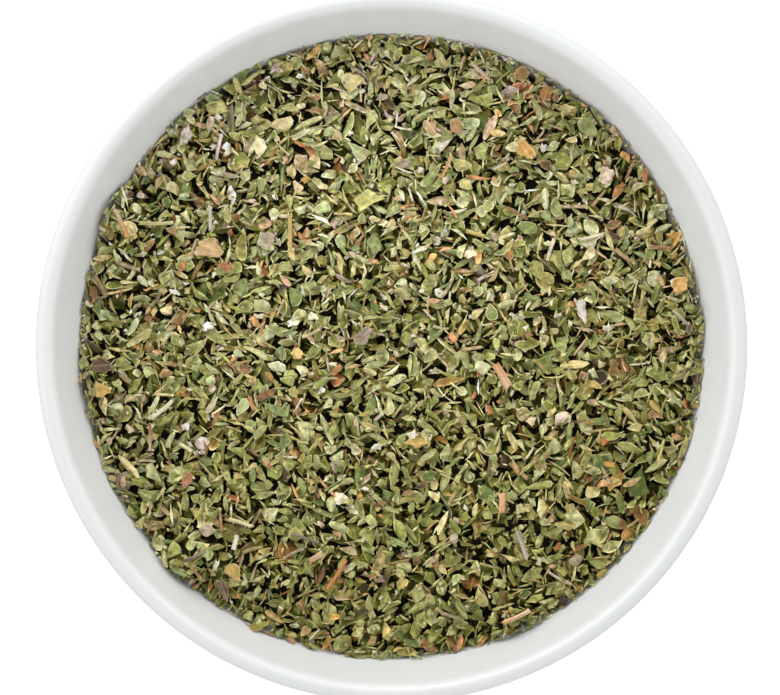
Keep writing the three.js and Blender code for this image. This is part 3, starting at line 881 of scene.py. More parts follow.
def paint_disc(kind, base, flipped, margin, underside, stale):
    """Colours of a flake's points: pale margins, a greyer underside, and some stale brown ends."""
    count = len(base)
    under = mix(base, UNDERSIDE_TONE, underside * draw.uniform(*UNDERSIDE_SHARE, (count, 1)))
    over, under = np.where(flipped, under, base), np.where(flipped, base, under)
    edge = mix(over, MARGIN_TONE, margin * draw.uniform(*MARGIN_SHARE, (count, 1)))
    ring = np.repeat(over[:, None], kind.sides, axis=1)
    rim = np.repeat(edge[:, None], kind.sides, axis=1)
    back = np.repeat(under[:, None], kind.sides, axis=1)
    colours = np.concatenate([over[:, None], ring, rim, back, under[:, None]], axis=1)
    at_base = smoothstep(-np.cos(around(kind.sides)), *STALE_RANGE)
    weight = np.concatenate([[0], STALE_RING * at_base, at_base, STALE_RING * at_base, [0]])
    staleness = (draw.random((count, 1)) < stale) * draw.uniform(*STALE_SHARE, (count, 1))
    tone = STALE_TONES[draw.integers(len(STALE_TONES), size=count)]
    colours = mix(colours, tone[:, None], (weight * staleness)[..., None])
    return shaded(colours, np.exp(draw.normal(0, POINT_SPREAD, colours.shape[:2])))


def paint_tube(kind, base):
    """Colours of a bit of stalk: streaks along it, and pale broken ends."""
    count = len(base)
    streak = np.tile(draw.normal(1, STREAK_SPREAD, (count, kind.sides)), (1, kind.rings))
    colours = base[:, None] * np.append(streak, np.ones((count, 2)), axis=1)[..., None]
    colours[:, -2:] = mix(colours[:, -2:], PITH_TONE, PITH_SHARE)
    return colours


disc_14, disc_12 = (DiscKind(sides) for sides in (14, 12))
crumpled_10, crumpled_8, crumpled_6 = (DiscKind(sides, is_crumpled=True) for sides in (10, 8, 6))
tube = TubeKind(6, 4)

# Each family of flakes: its control points and forms, the ranges of its length, of its width beside
# that and of its thickness, its share in the heap, how much paler its margin and its underside are,
# how many flakes have a stale end, and whether it was torn from a larger leaf
FAMILIES = {
    "bract": dict(kind=disc_14, forms=bract_forms, length=(1.9, 4.2), slenderness=(0.55, 0.95),
                  thickness=(0.12, 0.2), share=0.18, margin=1, underside=0.35, stale=0.18, torn=False),
    "shard": dict(kind=crumpled_10, forms=shard_forms, length=(1.6, 4.8), slenderness=(0.45, 1.0),
                  thickness=(0.12, 0.2), share=0.31, margin=0.5, underside=0.4, stale=0.14, torn=True),
    "rolled": dict(kind=disc_12, forms=rolled_forms, length=(2.5, 5.6), slenderness=(0.3, 0.5),
                   thickness=(0.12, 0.18), share=0.13, margin=0.6, underside=0.6, stale=0.12, torn=False),
    "sliver": dict(kind=crumpled_8, forms=sliver_forms, length=(1.6, 5.0), slenderness=(0.12, 0.28),
                   thickness=(0.12, 0.2), share=0.18, margin=0.4, underside=0.3, stale=0.2, torn=True),
    "crumb": dict(kind=crumpled_6, forms=crumb_forms, length=(0.7, 1.4), slenderness=(0.5, 1.0),
                  thickness=(0.15, 0.35), share=0.16, margin=0.2, underside=0.3, stale=0.15, torn=True),
    "twig": dict(kind=tube, forms=twig_forms, length=(1.8, 5.4), slenderness=(0.1, 0.22),
                 thickness=(0, 0), share=0.03, margin=0, underside=0, stale=0, torn=False),
    "husk": dict(kind=disc_12, forms=husk_forms, length=(0.9, 2.6), slenderness=(0.5, 1.0),
                 thickness=(0.1, 0.16), share=0.045, margin=0.2, underside=0, stale=0.3, torn=True),
}
# Shares of flakes that take the colours of another family
ODD_COLOURS = {"straw": 0.055, "tan": 0.03, "brown": 0.025, "rust": 0.007, "peach": 0.009,
               "mauve": 0.012, "blush": 0.012, "dark": 0.012, "cream": 0.01, "green": 0.055,
               "amber": 0.014}
ODD_MARGIN = 0.3  # how pale the margins of those flakes are, as a share of the usual


# Laying flakes on the heap

PROUD = 0.55  # a flake may stand this far above the heap's surface
FOLLOW = 0.8  # how closely a flake follows the slope below it
SINK_SHARE = 0.03  # of a flake's spots, that may lie in what is below
LATTICE = 3.0  # mean distance between the flakes of one pass
JITTER = 1.2
TRIES = 4
LEANS = [(0.52, 0, 26), (0.28, 26, 52), (0.2, 52, 78)]  # share, and degrees off the surface
MAX_SLOPE = 4.0
LEVELNESS = 1e-3  # keeps the slope below a flake small where its spots lie nearly in a line
BURIED_DEPTH = 0.7
WALL_STEPS = 3  # how often a flake that reaches past the wall is moved inwards
WALL_SLACK = 0.02  # how far it may still reach into the gap beside the wall after that
WALL_MARGIN = 0.2  # the middles of flakes lie at least this far inside the wall
NO_VEINS = 99.0  # a place this far across from its midrib has no veins


def lean_slopes(count):
    """Random slopes, as rises along X and Y."""
    share, low, high = np.array(LEANS).T
    pick = draw.choice(len(LEANS), count, p=share)
    rise = np.tan(np.radians(draw.uniform(low[pick], high[pick])))
    turn = draw.uniform(0, 2 * math.pi, count)
    return np.stack([rise * np.cos(turn), rise * np.sin(turn)], axis=1)


def slope_below(spots, heights):
    """The slope of the plane that fits the heights under each flake best."""
    flat = spots - spots.mean(axis=1, keepdims=True)
    rise = heights - heights.mean(axis=1, keepdims=True)
    spread = np.einsum("msi,msj->mij", flat, flat) + LEVELNESS * np.eye(2)
    leaning = np.einsum("msi,ms->mi", flat, rise)
    return np.linalg.solve(spread, leaning[..., None])[..., 0]


def pose_turns(heading, slope):
    """Turn matrices that put a flake's length along a heading on a sloping plane."""
    up = np.stack([-slope[:, 0], -slope[:, 1], np.ones(len(slope))], axis=1)
    up /= np.linalg.norm(up, axis=1, keepdims=True)
    ahead = np.stack([np.cos(heading), np.sin(heading), np.zeros(len(heading))], axis=1)
    ahead -= (ahead * up).sum(axis=1, keepdims=True) * up
    ahead /= np.linalg.norm(ahead, axis=1, keepdims=True)
    return np.stack([ahead, np.cross(up, ahead), up], axis=2)


class Heap:
    """The heap as it grows: the height of each cell, and the height that flakes may reach there."""

    def __init__(self, target, ceiling):
        """Starts with only the core, up to the heap's depth below the target surface."""
        self.target = target
        self.ceiling = ceiling
        in_bowl = grid_radius < wall_radius(target - HEAP_DEPTH)
        self.ground = np.where(in_bowl, target - HEAP_DEPTH, wall_height(grid_radius))
        self.laid = {name: [] for name in FAMILIES}

    def rest(self, spots, thickness):
        """How far flakes are lifted to rest on the ground."""
        below = self.ground[grid_index(spots[..., :2])]
        gap = below - spots[..., 2] + thickness[:, None] / 2
        rank = round((1 - SINK_SHARE) * (gap.shape[1] - 1))
        return np.partition(gap, rank, axis=1)[:, rank]

    def turns_on_ground(self, samples, places, headings, leans):
        """Turn matrices that lay each flake on the slope below it, with a lean of its own."""
        upright = pose_turns(headings, np.zeros((len(places), 2)))
        spots = samples @ np.swapaxes(upright, 1, 2)
        heights = self.ground[grid_index(spots[..., :2] + places[:, None])]
        slope = slope_below(spots[..., :2], heights)
        slope = np.clip(FOLLOW * slope, -1, 1) + leans
        steepness = np.linalg.norm(slope, axis=1, keepdims=True)
        slope *= np.minimum(1, MAX_SLOPE / np.maximum(steepness, TINY))
        return np.swapaxes(pose_turns(headings, slope), 1, 2)

    def settle(self, spots, thickness, places):
        """Rests flakes on the ground, away from the wall.

        Returns their origins, their spots there, and how far those still reach past the wall's gap."""
        origin = np.append(places, np.zeros((len(places), 1)), axis=1)
        inwards = -places / np.maximum(np.linalg.norm(places, axis=1, keepdims=True), TINY)
        for _ in range(WALL_STEPS):
            origin[:, 2] = 0
            origin[:, 2] = self.rest(spots + origin[:, None], thickness)
            standing = spots + origin[:, None]
            reach = np.linalg.norm(standing[..., :2], axis=2)
            over = (reach - wall_radius(standing[..., 2]) + WALL_GAP).max(axis=1)
            origin[:, :2] += inwards * np.maximum(over, 0)[:, None]
        return origin, standing, over

    def lay(self, family, forms, thickness, paints, places, headings, leans, proud):
        """Lays those flakes that find room, and returns which."""
        kind = FAMILIES[family]["kind"]
        samples = kind.samples @ forms
        turns = self.turns_on_ground(samples, places, headings, leans)
        origin, standing, over = self.settle(samples @ turns, thickness, places)
        tops = standing[..., 2] + thickness[:, None] / 2
        cells = grid_index(standing[..., :2])
        room = np.minimum(self.target[cells] + proud, self.ceiling[cells]) - tops
        fits = (room.min(axis=1) > 0) & (over < WALL_SLACK)
        np.maximum.at(self.ground, tuple(cell[fits] for cell in cells), tops[fits])
        points = forms[fits] @ turns[fits] + origin[fits, None]
        self.laid[family].append((kind.solids(points, thickness[fits]), paints[fits]))
        return fits

    def not_buried(self, solids):
        """Which flakes reach near the surface. The others are left out."""
        surface = self.ground[grid_index(solids[..., :2])]
        return (solids[..., 2] > surface - BURIED_DEPTH).any(axis=1)


def vein_places(kind, forms, torn):
    """Where a flake's points lie along and across its midrib, and towards its edge."""
    count = len(forms)
    x, y = forms[..., 0], forms[..., 1]
    if torn:
        turn = draw.uniform(0, 2 * math.pi, (count, 1))
        x, y = x * np.cos(turn) + y * np.sin(turn), y * np.cos(turn) - x * np.sin(turn)
        y = y + draw.uniform(-1, 1, (count, 1))
    if isinstance(kind, TubeKind):
        y = y + NO_VEINS
    edge = np.broadcast_to(np.zeros_like(kind.edge) if torn else kind.edge, x.shape)
    return np.stack([x + draw.uniform(0, 1, (count, 1)), y, edge], axis=-1)[:, kind.control]


def make_flakes(family, count, colour_family=None, sizes=None):
    """Forms, thicknesses and paints of new flakes. Nearly half of them lie upside down."""
    facts = FAMILIES[family]
    kind = facts["kind"]
    if sizes is None:
        sizes = flake_sizes(count, facts["length"], facts["slenderness"])
    forms = facts["forms"](sizes, kind)
    thickness = draw.uniform(*facts["thickness"], count)
    base = flake_colours(colour_family or family, count)
    margin = np.full((count, 1), facts["margin"] * (ODD_MARGIN if colour_family else 1.0))
    if colour_family is None:
        pick = draw.random(count)
        low = 0
        for odd, share in ODD_COLOURS.items():
            chosen = (pick >= low) & (pick < low + share)
            base[chosen] = flake_colours(odd, chosen.sum())
            margin[chosen] *= ODD_MARGIN
            low += share
    flipped = draw.random((count, 1)) < FLIPPED_SHARE
    turned_over = np.where(flipped[..., None], [1, -1, -1], [1, 1, 1])
    if isinstance(kind, TubeKind):
        colours = paint_tube(kind, base)
    else:
        colours = paint_disc(kind, base, flipped, margin, facts["underside"], facts["stale"])
    paints = np.concatenate([colours, vein_places(kind, forms, facts["torn"])], axis=2)
    return forms * turned_over, thickness, paints


def lattice_places(quarter):
    """Every fourth place of a jittered lattice over the heap, so that they lie well apart."""
    line = np.arange(-GRID_REACH, GRID_REACH, 2 * LATTICE)
    places = np.stack(np.meshgrid(line, line, indexing="ij"), axis=-1).reshape(-1, 2)
    places = places + LATTICE * np.array([quarter % 2, quarter // 2])
    return places + draw.uniform(-JITTER, JITTER, places.shape)


def lay_at(heap, places, shares, proud):
    """Lays a flake at each place, which is tried a few ways round."""
    names = list(shares)
    chances = np.array([shares[name] for name in names])
    families = draw.choice(len(names), len(places), p=chances / chances.sum())
    for number, family in enumerate(names):
        here = places[families == number]
        forms, thickness, paints = make_flakes(family, len(here))
        for _ in range(TRIES):
            count = len(here)
            if count == 0:
                break
            headings = draw.uniform(0, 2 * math.pi, count)
            fits = heap.lay(family, forms, thickness, paints, here, headings,
                            lean_slopes(count), proud)
            here, forms, thickness, paints = (
                values[~fits] for values in (here, forms, thickness, paints))


def lay_pass(heap, shares, proud):
    """One pass of flakes over the whole heap."""
    shift = draw.uniform(0, 2 * LATTICE, 2)
    for quarter in range(4):
        places = lattice_places(quarter) + shift
        radius = np.linalg.norm(places, axis=1)
        lay_at(heap, places[radius < wall_radius(FILL_HEIGHT) - WALL_MARGIN], shares, proud)


def lay_supports(heap, shadows):
    """Small flakes that fill the space below each loose piece, one at a time."""
    below = [np.argwhere(np.isfinite(shadow)) for shadow in shadows]
    for _ in range(SUPPORT_TURNS):
        cells = np.array([spots[draw.integers(len(spots))] for spots in below])
        places = grid_line[cells] + draw.uniform(-SUPPORT_SHIFT, SUPPORT_SHIFT, cells.shape)
        lay_at(heap, places, SUPPORT_SHARES, MOUND_SINK)


def lay_edge_pass(heap, shares, proud):
    """One pass of small flakes along the wall, where the others leave a gap."""
    edge = wall_radius(FILL_HEIGHT)
    count = round(math.pi * edge / LATTICE)
    for half in range(2):
        step = np.arange(count) + half / 2 + draw.uniform(-EDGE_JITTER, EDGE_JITTER, count)
        turn = 2 * math.pi * step / count
        radius = edge - draw.uniform(*EDGE_REACH, count)
        places = np.stack([radius * np.cos(turn), radius * np.sin(turn)], axis=1)
        lay_at(heap, places, shares, proud)


# Pieces that stand out from the others, where they lie on the heap: family, colours, middle, length,
# width, and heading in degrees
STANDOUTS = [
    ("rolled", "cream", (-15.6, 36.1), 3.4, 1.5, 35),
    ("twig", "cream", (-18.3, 33.9), 3.2, 0.35, -45),
    ("twig", "mauve", (-29.5, 34.4), 4.4, 0.6, 80),
    ("shard", "mauve", (-48.6, 19.6), 2.4, 1.8, 30),
    ("shard", "rust", (-35.3, 13.7), 2.2, 1.5, 60),
    ("bract", "olive", (-25.8, 17.3), 5.0, 2.0, 88),
    ("shard", "olive", (-4.3, 24.7), 5.1, 3.7, 20),
    ("crumb", "rust", (-3.1, 7.7), 1.6, 1.2, 10),
    ("crumb", "rust", (-50.8, 7.4), 1.6, 1.1, 70),
    ("husk", "cream", (-16.7, 4.0), 2.4, 1.6, 15),
    ("shard", "mauve", (-19.6, 47.7), 3.0, 2.0, 25),
    ("crumb", "magenta", (23.9, 46.5), 1.0, 0.8, 0),
    ("bract", "rust", (43.2, 28.8), 2.7, 1.2, 95),
    ("twig", "brown", (21.4, 23.0), 4.0, 0.45, -30),
    ("shard", "mauve", (1.6, 31.4), 2.8, 1.6, 10),
    ("bract", "green", (28.4, 24.2), 4.0, 3.1, 70),
    ("shard", "straw", (34.5, 15.4), 3.4, 2.4, 60),
    ("shard", "rust", (10.1, 1.9), 2.0, 1.4, 120),
    ("shard", "brown", (6.6, 7.6), 2.6, 1.6, 10),
    ("shard", "dark", (37.7, 9.4), 2.4, 1.6, 40),
    ("rolled", "cream", (-30.7, -9.6), 3.4, 1.3, 70),
    ("rolled", "brown", (-21.2, -8.4), 4.2, 1.4, 25),
    ("rolled", "green", (-19.8, -11.0), 4.4, 1.6, 150),
    ("bract", "salmon", (-45.9, -23.4), 2.2, 1.3, 60),
    ("twig", "brown", (-29.2, -29.5), 3.6, 0.5, 80),
    ("bract", "mauve", (-31.2, -31.1), 2.6, 2.4, 0),
    ("bract", "green", (-18.1, -25.1), 5.2, 3.2, -35),
    ("crumb", "straw", (-31.2, -33.5), 1.6, 1.3, 40),
    ("twig", "brown", (-32.9, -38.1), 3.4, 0.5, 120),
    ("twig", "mauve", (-16.7, -35.5), 4.0, 0.5, 20),
    ("twig", "cream", (-13.3, -48.9), 2.6, 0.35, 50),
    ("shard", "dark", (-5.0, -44.7), 2.4, 1.6, 0),
    ("shard", "mauve", (-1.8, -39.6), 2.4, 1.8, 30),
    ("bract", "olive", (-22.4, -47.4), 3.8, 1.8, 20),
    ("shard", "rust", (16.3, -11.2), 2.4, 1.5, 80),
    ("rolled", "straw", (8.3, -30.4), 4.2, 1.4, 75),
    ("rolled", "brown", (31.6, -25.6), 4.4, 1.3, -30),
    ("twig", "mauve", (11.0, -46.6), 4.4, 0.6, -30),
    ("shard", "brown", (37.0, -32.4), 2.4, 1.7, 60),
    ("shard", "rust", (5.9, -50.8), 2.2, 1.4, 10),
    ("shard", "straw", (2.1, -40.4), 2.8, 2.0, 40),
    ("shard", "brown", (4.0, -36.0), 2.2, 1.6, 100),
    ("bract", "salmon", (46.1, -1.6), 2.2, 1.5, 80),
    ("twig", "straw", (45.9, -18.0), 3.8, 0.45, 65),
    ("shard", "rust", (49.6, -9.6), 2.0, 1.3, 90),
    ("bract", "mauve", (31.1, -36.2), 2.6, 2.3, 20),
    ("twig", "rust", (30.4, -17.3), 3.6, 0.45, 85),
]
STANDOUT_LEAN = 12  # most degrees off level, before what the slope below adds
STANDOUT_TURN = 8  # degrees that the heading may be off
STANDOUT_SHIFT = 0.4
STANDOUT_TRIES = 32


def lay_standouts(heap, proud):
    """Lays each piece that stands out at its place, tried a little differently until it fits."""
    for family, colour_family, place, length, width, heading in STANDOUTS:
        sizes = np.array([[length, width]])
        forms, thickness, paints = make_flakes(family, 1, colour_family, sizes)
        for _ in range(STANDOUT_TRIES):
            rise = math.tan(math.radians(draw.uniform(0, STANDOUT_LEAN)))
            turn = draw.uniform(0, 2 * math.pi)
            lean = np.array([[rise * math.cos(turn), rise * math.sin(turn)]])
            headings = np.radians([heading + draw.uniform(-STANDOUT_TURN, STANDOUT_TURN)])
            near = np.array([place]) + draw.uniform(-STANDOUT_SHIFT, STANDOUT_SHIFT, (1, 2))
            if heap.lay(family, forms, thickness, paints, near, headings, lean, proud)[0]:
                break


# Making the heap

SURFACE_DROP = 0.3  # how far below the CAD bed the heap's surface is, as flakes stand proud of it
SEAT = 0.04  # flakes stay this far below what lies loose on them
MOUND_SLOPE = 0.8
MOUND_REACH = 6.0
MOUND_SINK = 0.3  # how far a mound's top stays below the piece that lies on it
SUPPORT_SHARES = {"crumb": 0.5, "shard": 0.3, "sliver": 0.2}
SUPPORT_TURNS = 60  # how often a small flake is laid below each loose piece
SUPPORT_SHIFT = 0.3
DEEP_SHARES = {"shard": 0.8, "crumb": 0.2}
DEEP_PASSES = 4
DEEP_PROUD = -0.8  # how far the flakes of these passes may stand above the heap's surface
MAIN_PASSES = 16
MAIN_PROUD = PROUD - 0.3
TOP_PASSES = 3
EDGE_SHARES = {"bract": 0.15, "shard": 0.4, "sliver": 0.2, "crumb": 0.25}
EDGE_REACH = (0.2, 2.0)  # how far from the wall the small flakes along it are laid
EDGE_JITTER = 0.2
EDGE_PASSES = 8  # after the deep passes, and as many after the main ones
EDGE_PROUDS = (-0.5, PROUD - 0.2)
STANDOUT_PROUD = PROUD + 0.7
FLAKE_PIECES = 16
SHADE_DEPTHS = (0.4, 2.1)  # painted shade darkens flakes between these depths below the surface, where the flakes above shade them
DEEPEST_SHADE = 0.22
PAINTED_LIGHT_SIDE = 110  # degrees from +X towards +Y, where the heap gets painted light; the opposite side gets painted shade
# how much painted light and painted shade change the heap's colour towards the rim
PAINTED_LIGHT_SHARE = 0.25


def mounds_below(ceiling):
    """Mounds that rise to the undersides of the loose pieces, over the grid."""
    height = np.where(np.isfinite(ceiling), ceiling, 0)
    steps = [(1, 0), (-1, 0), (0, 1), (0, -1), (1, 1), (1, -1), (-1, 1), (-1, -1)]
    for _ in range(round(MOUND_REACH / CELL)):
        for step in steps:
            fall = MOUND_SLOPE * CELL * math.hypot(*step)
            height = np.maximum(height, np.roll(height, step, axis=(0, 1)) - fall)
    return height


def heap_limits(shadows):
    """The surface that the heap is built up to, and the ceiling under the loose pieces."""
    ceiling = np.minimum.reduce(shadows) - SEAT
    surface = crowned_height(grid_radius) + bed_relief() - SURFACE_DROP
    return np.maximum(surface, mounds_below(ceiling) - MOUND_SINK), ceiling


def depth_shade(points, target):
    """How dark painted shade makes a point of the heap, by its depth below the surface."""
    depth = target[grid_index(points[..., :2])] - points[..., 2]
    return mix(1, DEEPEST_SHADE, smoothstep(depth, *SHADE_DEPTHS))


def painted_side_light(points):
    """Painted light and shade on a point of the heap, by the side of the bowl that it is on: lighter
    towards one side, darker towards the other.
    """
    side = math.radians(PAINTED_LIGHT_SIDE)
    along = points[..., 0] * math.cos(side) + points[..., 1] * math.sin(side)
    return 1 + PAINTED_LIGHT_SHARE * along / rim_radius


def texture_corners(kind, count, first_cell, cells):
    """Each flake's own cell in the texture map, for every corner of its faces."""
    cell = first_cell + np.arange(count)
    corner = np.stack([cell % cells, cell // cells], axis=1)[:, None, None]
    return ((corner + kind.corner_map) / cells).reshape(-1, 2)


def make_flake_piece(name, groups, target, material):
    """One mesh from groups of flakes of several kinds."""
    cells = math.ceil(math.sqrt(sum(len(solids) for _, solids, _ in groups)))
    points, faces, coats, edges, folds, corners = [], [], [], [], [], []
    first_point = first_cell = 0
    for kind, solids, paints in groups:
        count, size = solids.shape[:2]
        offset = first_point + size * np.arange(count)[:, None, None]
        points.append(solids.reshape(-1, 3))
        faces.append((kind.faces + offset).reshape(-1, 3))
        # painted shade by depth below the surface, times painted light and shade by the side of the bowl
        shade = depth_shade(solids, target) * painted_side_light(solids)
        paints[..., :3] = shaded(paints[..., :3], shade)
        coats.append(paints.reshape(-1, 6))
        edges.append(np.tile(kind.on_edge, count))
        folds.append(np.tile(kind.on_fold, count))
        corners.append(texture_corners(kind, count, first_cell, cells))
        first_point += count * size
        first_cell += count
    points, faces, coats, edges, folds, corners = (
        np.concatenate(part) for part in (points, faces, coats, edges, folds, corners))
    piece = new_piece(name, points, faces, [material], ["oregano_bed"])
    paint_piece(piece, coats)
    crease_piece(piece, edges, folds)
    layer = piece.data.uv_layers.new(name="OFBake")
    layer.data.foreach_set("uv", corners.astype(np.float32).ravel())


def fill_heap(heap, shadows):
    """Lays all the flakes, from the core up."""
    for _ in range(DEEP_PASSES):
        lay_pass(heap, DEEP_SHARES, DEEP_PROUD)
    for _ in range(EDGE_PASSES):
        lay_edge_pass(heap, EDGE_SHARES, EDGE_PROUDS[0])
    shares = {name: facts["share"] for name, facts in FAMILIES.items()}
    for _ in range(MAIN_PASSES):
        lay_pass(heap, shares, MAIN_PROUD)
    for _ in range(EDGE_PASSES):
        lay_edge_pass(heap, EDGE_SHARES, EDGE_PROUDS[1])
    for _ in range(TOP_PASSES):
        lay_pass(heap, shares, PROUD)
    lay_standouts(heap, STANDOUT_PROUD)
    lay_supports(heap, shadows)


def make_heap(heap, shadows, material):
    """Fills the heap, and makes its flakes into a few pieces, with some of each family in each."""
    fill_heap(heap, shadows)
    families = []
    for family, batches in heap.laid.items():
        solids, paints = (np.concatenate(part) for part in zip(*batches))
        seen = heap.not_buried(solids)
        families.append((FAMILIES[family]["kind"], solids[seen], paints[seen]))
    for number in range(FLAKE_PIECES):
        groups = [(kind, solids[number::FLAKE_PIECES], paints[number::FLAKE_PIECES])
                  for kind, solids, paints in families]
        make_flake_piece(f"herb_flakes_{number + 1:02d}", groups, heap.target, material)


CORE_SIDES = 160
CORE_RINGS = 52
CORE_SAMPLES = 300  # points tried along the core's side, of which each CORE_STRIDE-th is kept
CORE_STRIDE = 6
CORE_SHOULDER = 0.5  # how far below the core's top its side ends
CORE_LUMPS = (-0.35, 0.05)


def core_side(height):
    """Half the outline of the core beside the bowl's wall, upwards."""
    side = beside_wall(np.linspace(1, 0, CORE_SAMPLES), CORE_GAP)
    return side[side[:, 1] < height - CORE_SHOULDER][::CORE_STRIDE]


def make_core(target):
    """The small crumbs below the loose flakes, as one lumpy solid, coloured near black: painted shade of
    the heap deep down.
    """
    height = FILL_HEIGHT - HEAP_DEPTH
    side = core_side(height)
    ring_radius = side[-1, 0] * (1 - np.linspace(0, 1, CORE_RINGS)[1:])
    top = np.stack([ring_radius, np.full(CORE_RINGS - 1, height)], axis=1)
    profile = np.concatenate([[(0, INNER_FLOOR + CORE_GAP)], side, top])
    points, faces = turned_mesh(profile, CORE_SIDES)
    on_top = np.arange(len(points)) >= len(side) * CORE_SIDES
    on_top[-2:] = [False, True]
    surface = target[grid_index(points[on_top, :2])] - HEAP_DEPTH
    points[on_top, 2] = surface + draw.uniform(*CORE_LUMPS, on_top.sum())
    new_piece("herb_core", points, faces, [painted_shade_core_material()], ["oregano_bed"])


# Loose pieces. Each takes its place, size and bend from its CAD node, and its tones from the family
# that is listed here in the order of the nodes.

LEAF_TONES = ["salmon", "brick", "mauve", "straw", "amber", "rust", "green", "tan", "brown", "blush",
              "amber", "pale", "dark", "ochre", "brick", "ochre", "umber", "ochre", "pale", "mauve"]
STALK_TONES = ["ochre", "pale", "peach", "olive", "cream", "rust", "blush", "amber", "brick", "cream",
               "straw", "cream", "umber", "grey", "salmon", "peach", "peach", "mauve", "peach", "grey"]
LOOSE_SPREAD = 0.06  # how much a loose piece's tone may vary
ANY_PHASE = (0, 6)  # from which a wave's phase is drawn, in radians
LEAF_THICKNESS = 0.26
LEAF_SIDES = 40
LEAF_RINGS = [0.25, 0.5, 0.72, 0.9]
LEAF_INSIDE = 1 + LEAF_SIDES * len(LEAF_RINGS)  # points of the upper side within its edge
LEAF_EDGE = slice(LEAF_INSIDE, LEAF_INSIDE + LEAF_SIDES)
LEAF_FILL = 0.98  # of the CAD leaf's length and width
LEAF_TEARS = 3
LEAF_TEAR_SHARE = 0.7
LEAF_TEAR_REACH = (0.28, 0.44)
LEAF_WAVES = 5  # round the edge
LEAF_WAVE_DEPTH = 0.07
LEAF_ROUGHNESS = 0.035
RIB_WIDTH = 0.1  # of half the leaf's width
RIB_VEINS = 7  # side veins, as radians along each millimetre
RIB_SLANT = 0.8
RIB_VEIN_SHARE = 0.6  # how strong they are beside the midrib
RIB_VEIN_WIDTH = 0.35
RIB_VEIN_START = 0.12  # of half the leaf's width
RIB_HEIGHT = 0.05
CRUMPLE_HEIGHT = 0.05
CRUMPLE_WAVES = (3, 4)  # along and across, as radians for each millimetre
LEAF_SPREAD = 0.06  # how much the points of one leaf differ in how light they are
RIB_PALENESS = 0.18
LEAF_EDGE_PALENESS = 0.35
BLOTCH_WAVES = (1.7, 2.1)
BLOTCH_RANGE = (0.4, 0.9)
BLOTCH_DARKNESS = 0.25


def own_frame(points):
    """The middle of a piece and its own axes: along it, across it and up."""
    middle = (points.min(axis=0) + points.max(axis=0)) / 2
    _, _, axes = np.linalg.svd(points - points.mean(axis=0), full_matrices=False)
    along, up = axes[0], axes[2]
    up = up if up[2] > 0 else -up
    return middle, np.stack([along, np.cross(up, along), up])


def bend_terms(x, y):
    """The terms of a surface that bends both ways and twists."""
    return np.stack([np.ones_like(x), x, y, x * x, x * y, y * y], axis=-1)


def make_loose(node, frame, solid, faces, material, paints, on_edge):
    """Puts a piece, made in its own frame, where its CAD node lies, and returns its underside."""
    middle, axes = frame
    placed = solid @ axes + middle
    piece = new_piece(f"herb_{node}", placed, faces, [material], [node])
    paint_piece(piece, paints)
    crease_piece(piece, on_edge)
    return shadow_of(placed, faces)


def torn_leaf_outline():
    """A leaf's outline, of length and width 1, torn in some places, with a wavy edge."""
    outline = ovate_outline(1, LEAF_SIDES)[0]
    for _ in range(LEAF_TEARS):
        outline = cut_outline(outline[None], LEAF_TEAR_SHARE, LEAF_TEAR_REACH)[0]
    wave = LEAF_WAVE_DEPTH * np.sin(LEAF_WAVES * around(LEAF_SIDES) + draw.uniform(*ANY_PHASE))
    outline = outline * (1 + wave + draw.normal(0, LEAF_ROUGHNESS, LEAF_SIDES))[:, None]
    return (outline - outline.min(axis=0)) / np.ptp(outline, axis=0) - 0.5


def leaf_veins(flat, half_width):
    """How near a flat leaf's points are to its midrib and to its side veins, from 0 up."""
    x, y = flat[:, 0], flat[:, 1]
    across = y / half_width
    midrib = np.exp(-(across / RIB_WIDTH) ** 2)
    wave = np.sin(RIB_VEINS * (x - RIB_SLANT * np.abs(y)))
    beside = np.abs(across) > RIB_VEIN_START
    return midrib + RIB_VEIN_SHARE * np.exp(-(wave / RIB_VEIN_WIDTH) ** 2) * beside


def leaf_sheet(flat, local, veins):
    """Bends a flat leaf as its CAD node, given in its own frame, is bent, and crumples it a little."""
    x, y = flat[:, 0], flat[:, 1]
    bends = np.linalg.lstsq(bend_terms(local[:, 0], local[:, 1]), local[:, 2], rcond=None)[0]
    rise = bend_terms(x, y) @ bends + RIB_HEIGHT * veins
    crumple = CRUMPLE_WAVES[0] * x + CRUMPLE_WAVES[1] * y + draw.uniform(*ANY_PHASE)
    rise += CRUMPLE_HEIGHT * np.sin(crumple)
    return np.stack([x, y, rise], axis=1)


def leaf_solid(sheet):
    """Points of a leaf's upper side with its edge, and then of its underside without it."""
    upper = sheet + [0, 0, LEAF_THICKNESS / 2]
    upper[LEAF_EDGE] = sheet[LEAF_EDGE]
    return np.concatenate([upper, sheet[:LEAF_INSIDE] - [0, 0, LEAF_THICKNESS / 2]])


def leaf_faces():
    """Faces of both sides of a leaf, which meet at its edge."""
    index, after = ring_points(len(LEAF_RINGS) + 1, LEAF_SIDES, first=1)
    fan = np.stack([np.zeros(LEAF_SIDES, int), index[0], after[0]], axis=1)
    over = np.concatenate([fan, ring_faces(index, after)])
    to_below = np.arange(LEAF_EDGE.stop)
    to_below[:LEAF_INSIDE] += LEAF_EDGE.stop
    return np.concatenate([over, to_below[over][:, ::-1]])


def leaf_colours(number, solid, veins):
    """Colours of a leaf's points: pale veins, a pale edge and dark blotches."""
    tone = flake_colours(LEAF_TONES[number - 1], 1, LOOSE_SPREAD)
    shade = draw.normal(1, LEAF_SPREAD, len(solid))
    pattern = np.append(veins, veins[:LEAF_INSIDE])
    colours = mix(tone, MARGIN_TONE, RIB_PALENESS * pattern[:, None]) * shade[:, None]
    colours[LEAF_EDGE] = mix(colours[LEAF_EDGE], MARGIN_TONE, LEAF_EDGE_PALENESS)
    along = np.sin(BLOTCH_WAVES[0] * solid[:, 0] + draw.uniform(*ANY_PHASE))
    across = np.cos(BLOTCH_WAVES[1] * solid[:, 1] + draw.uniform(*ANY_PHASE))
    return shaded(colours, 1 - BLOTCH_DARKNESS * smoothstep(along * across, *BLOTCH_RANGE))


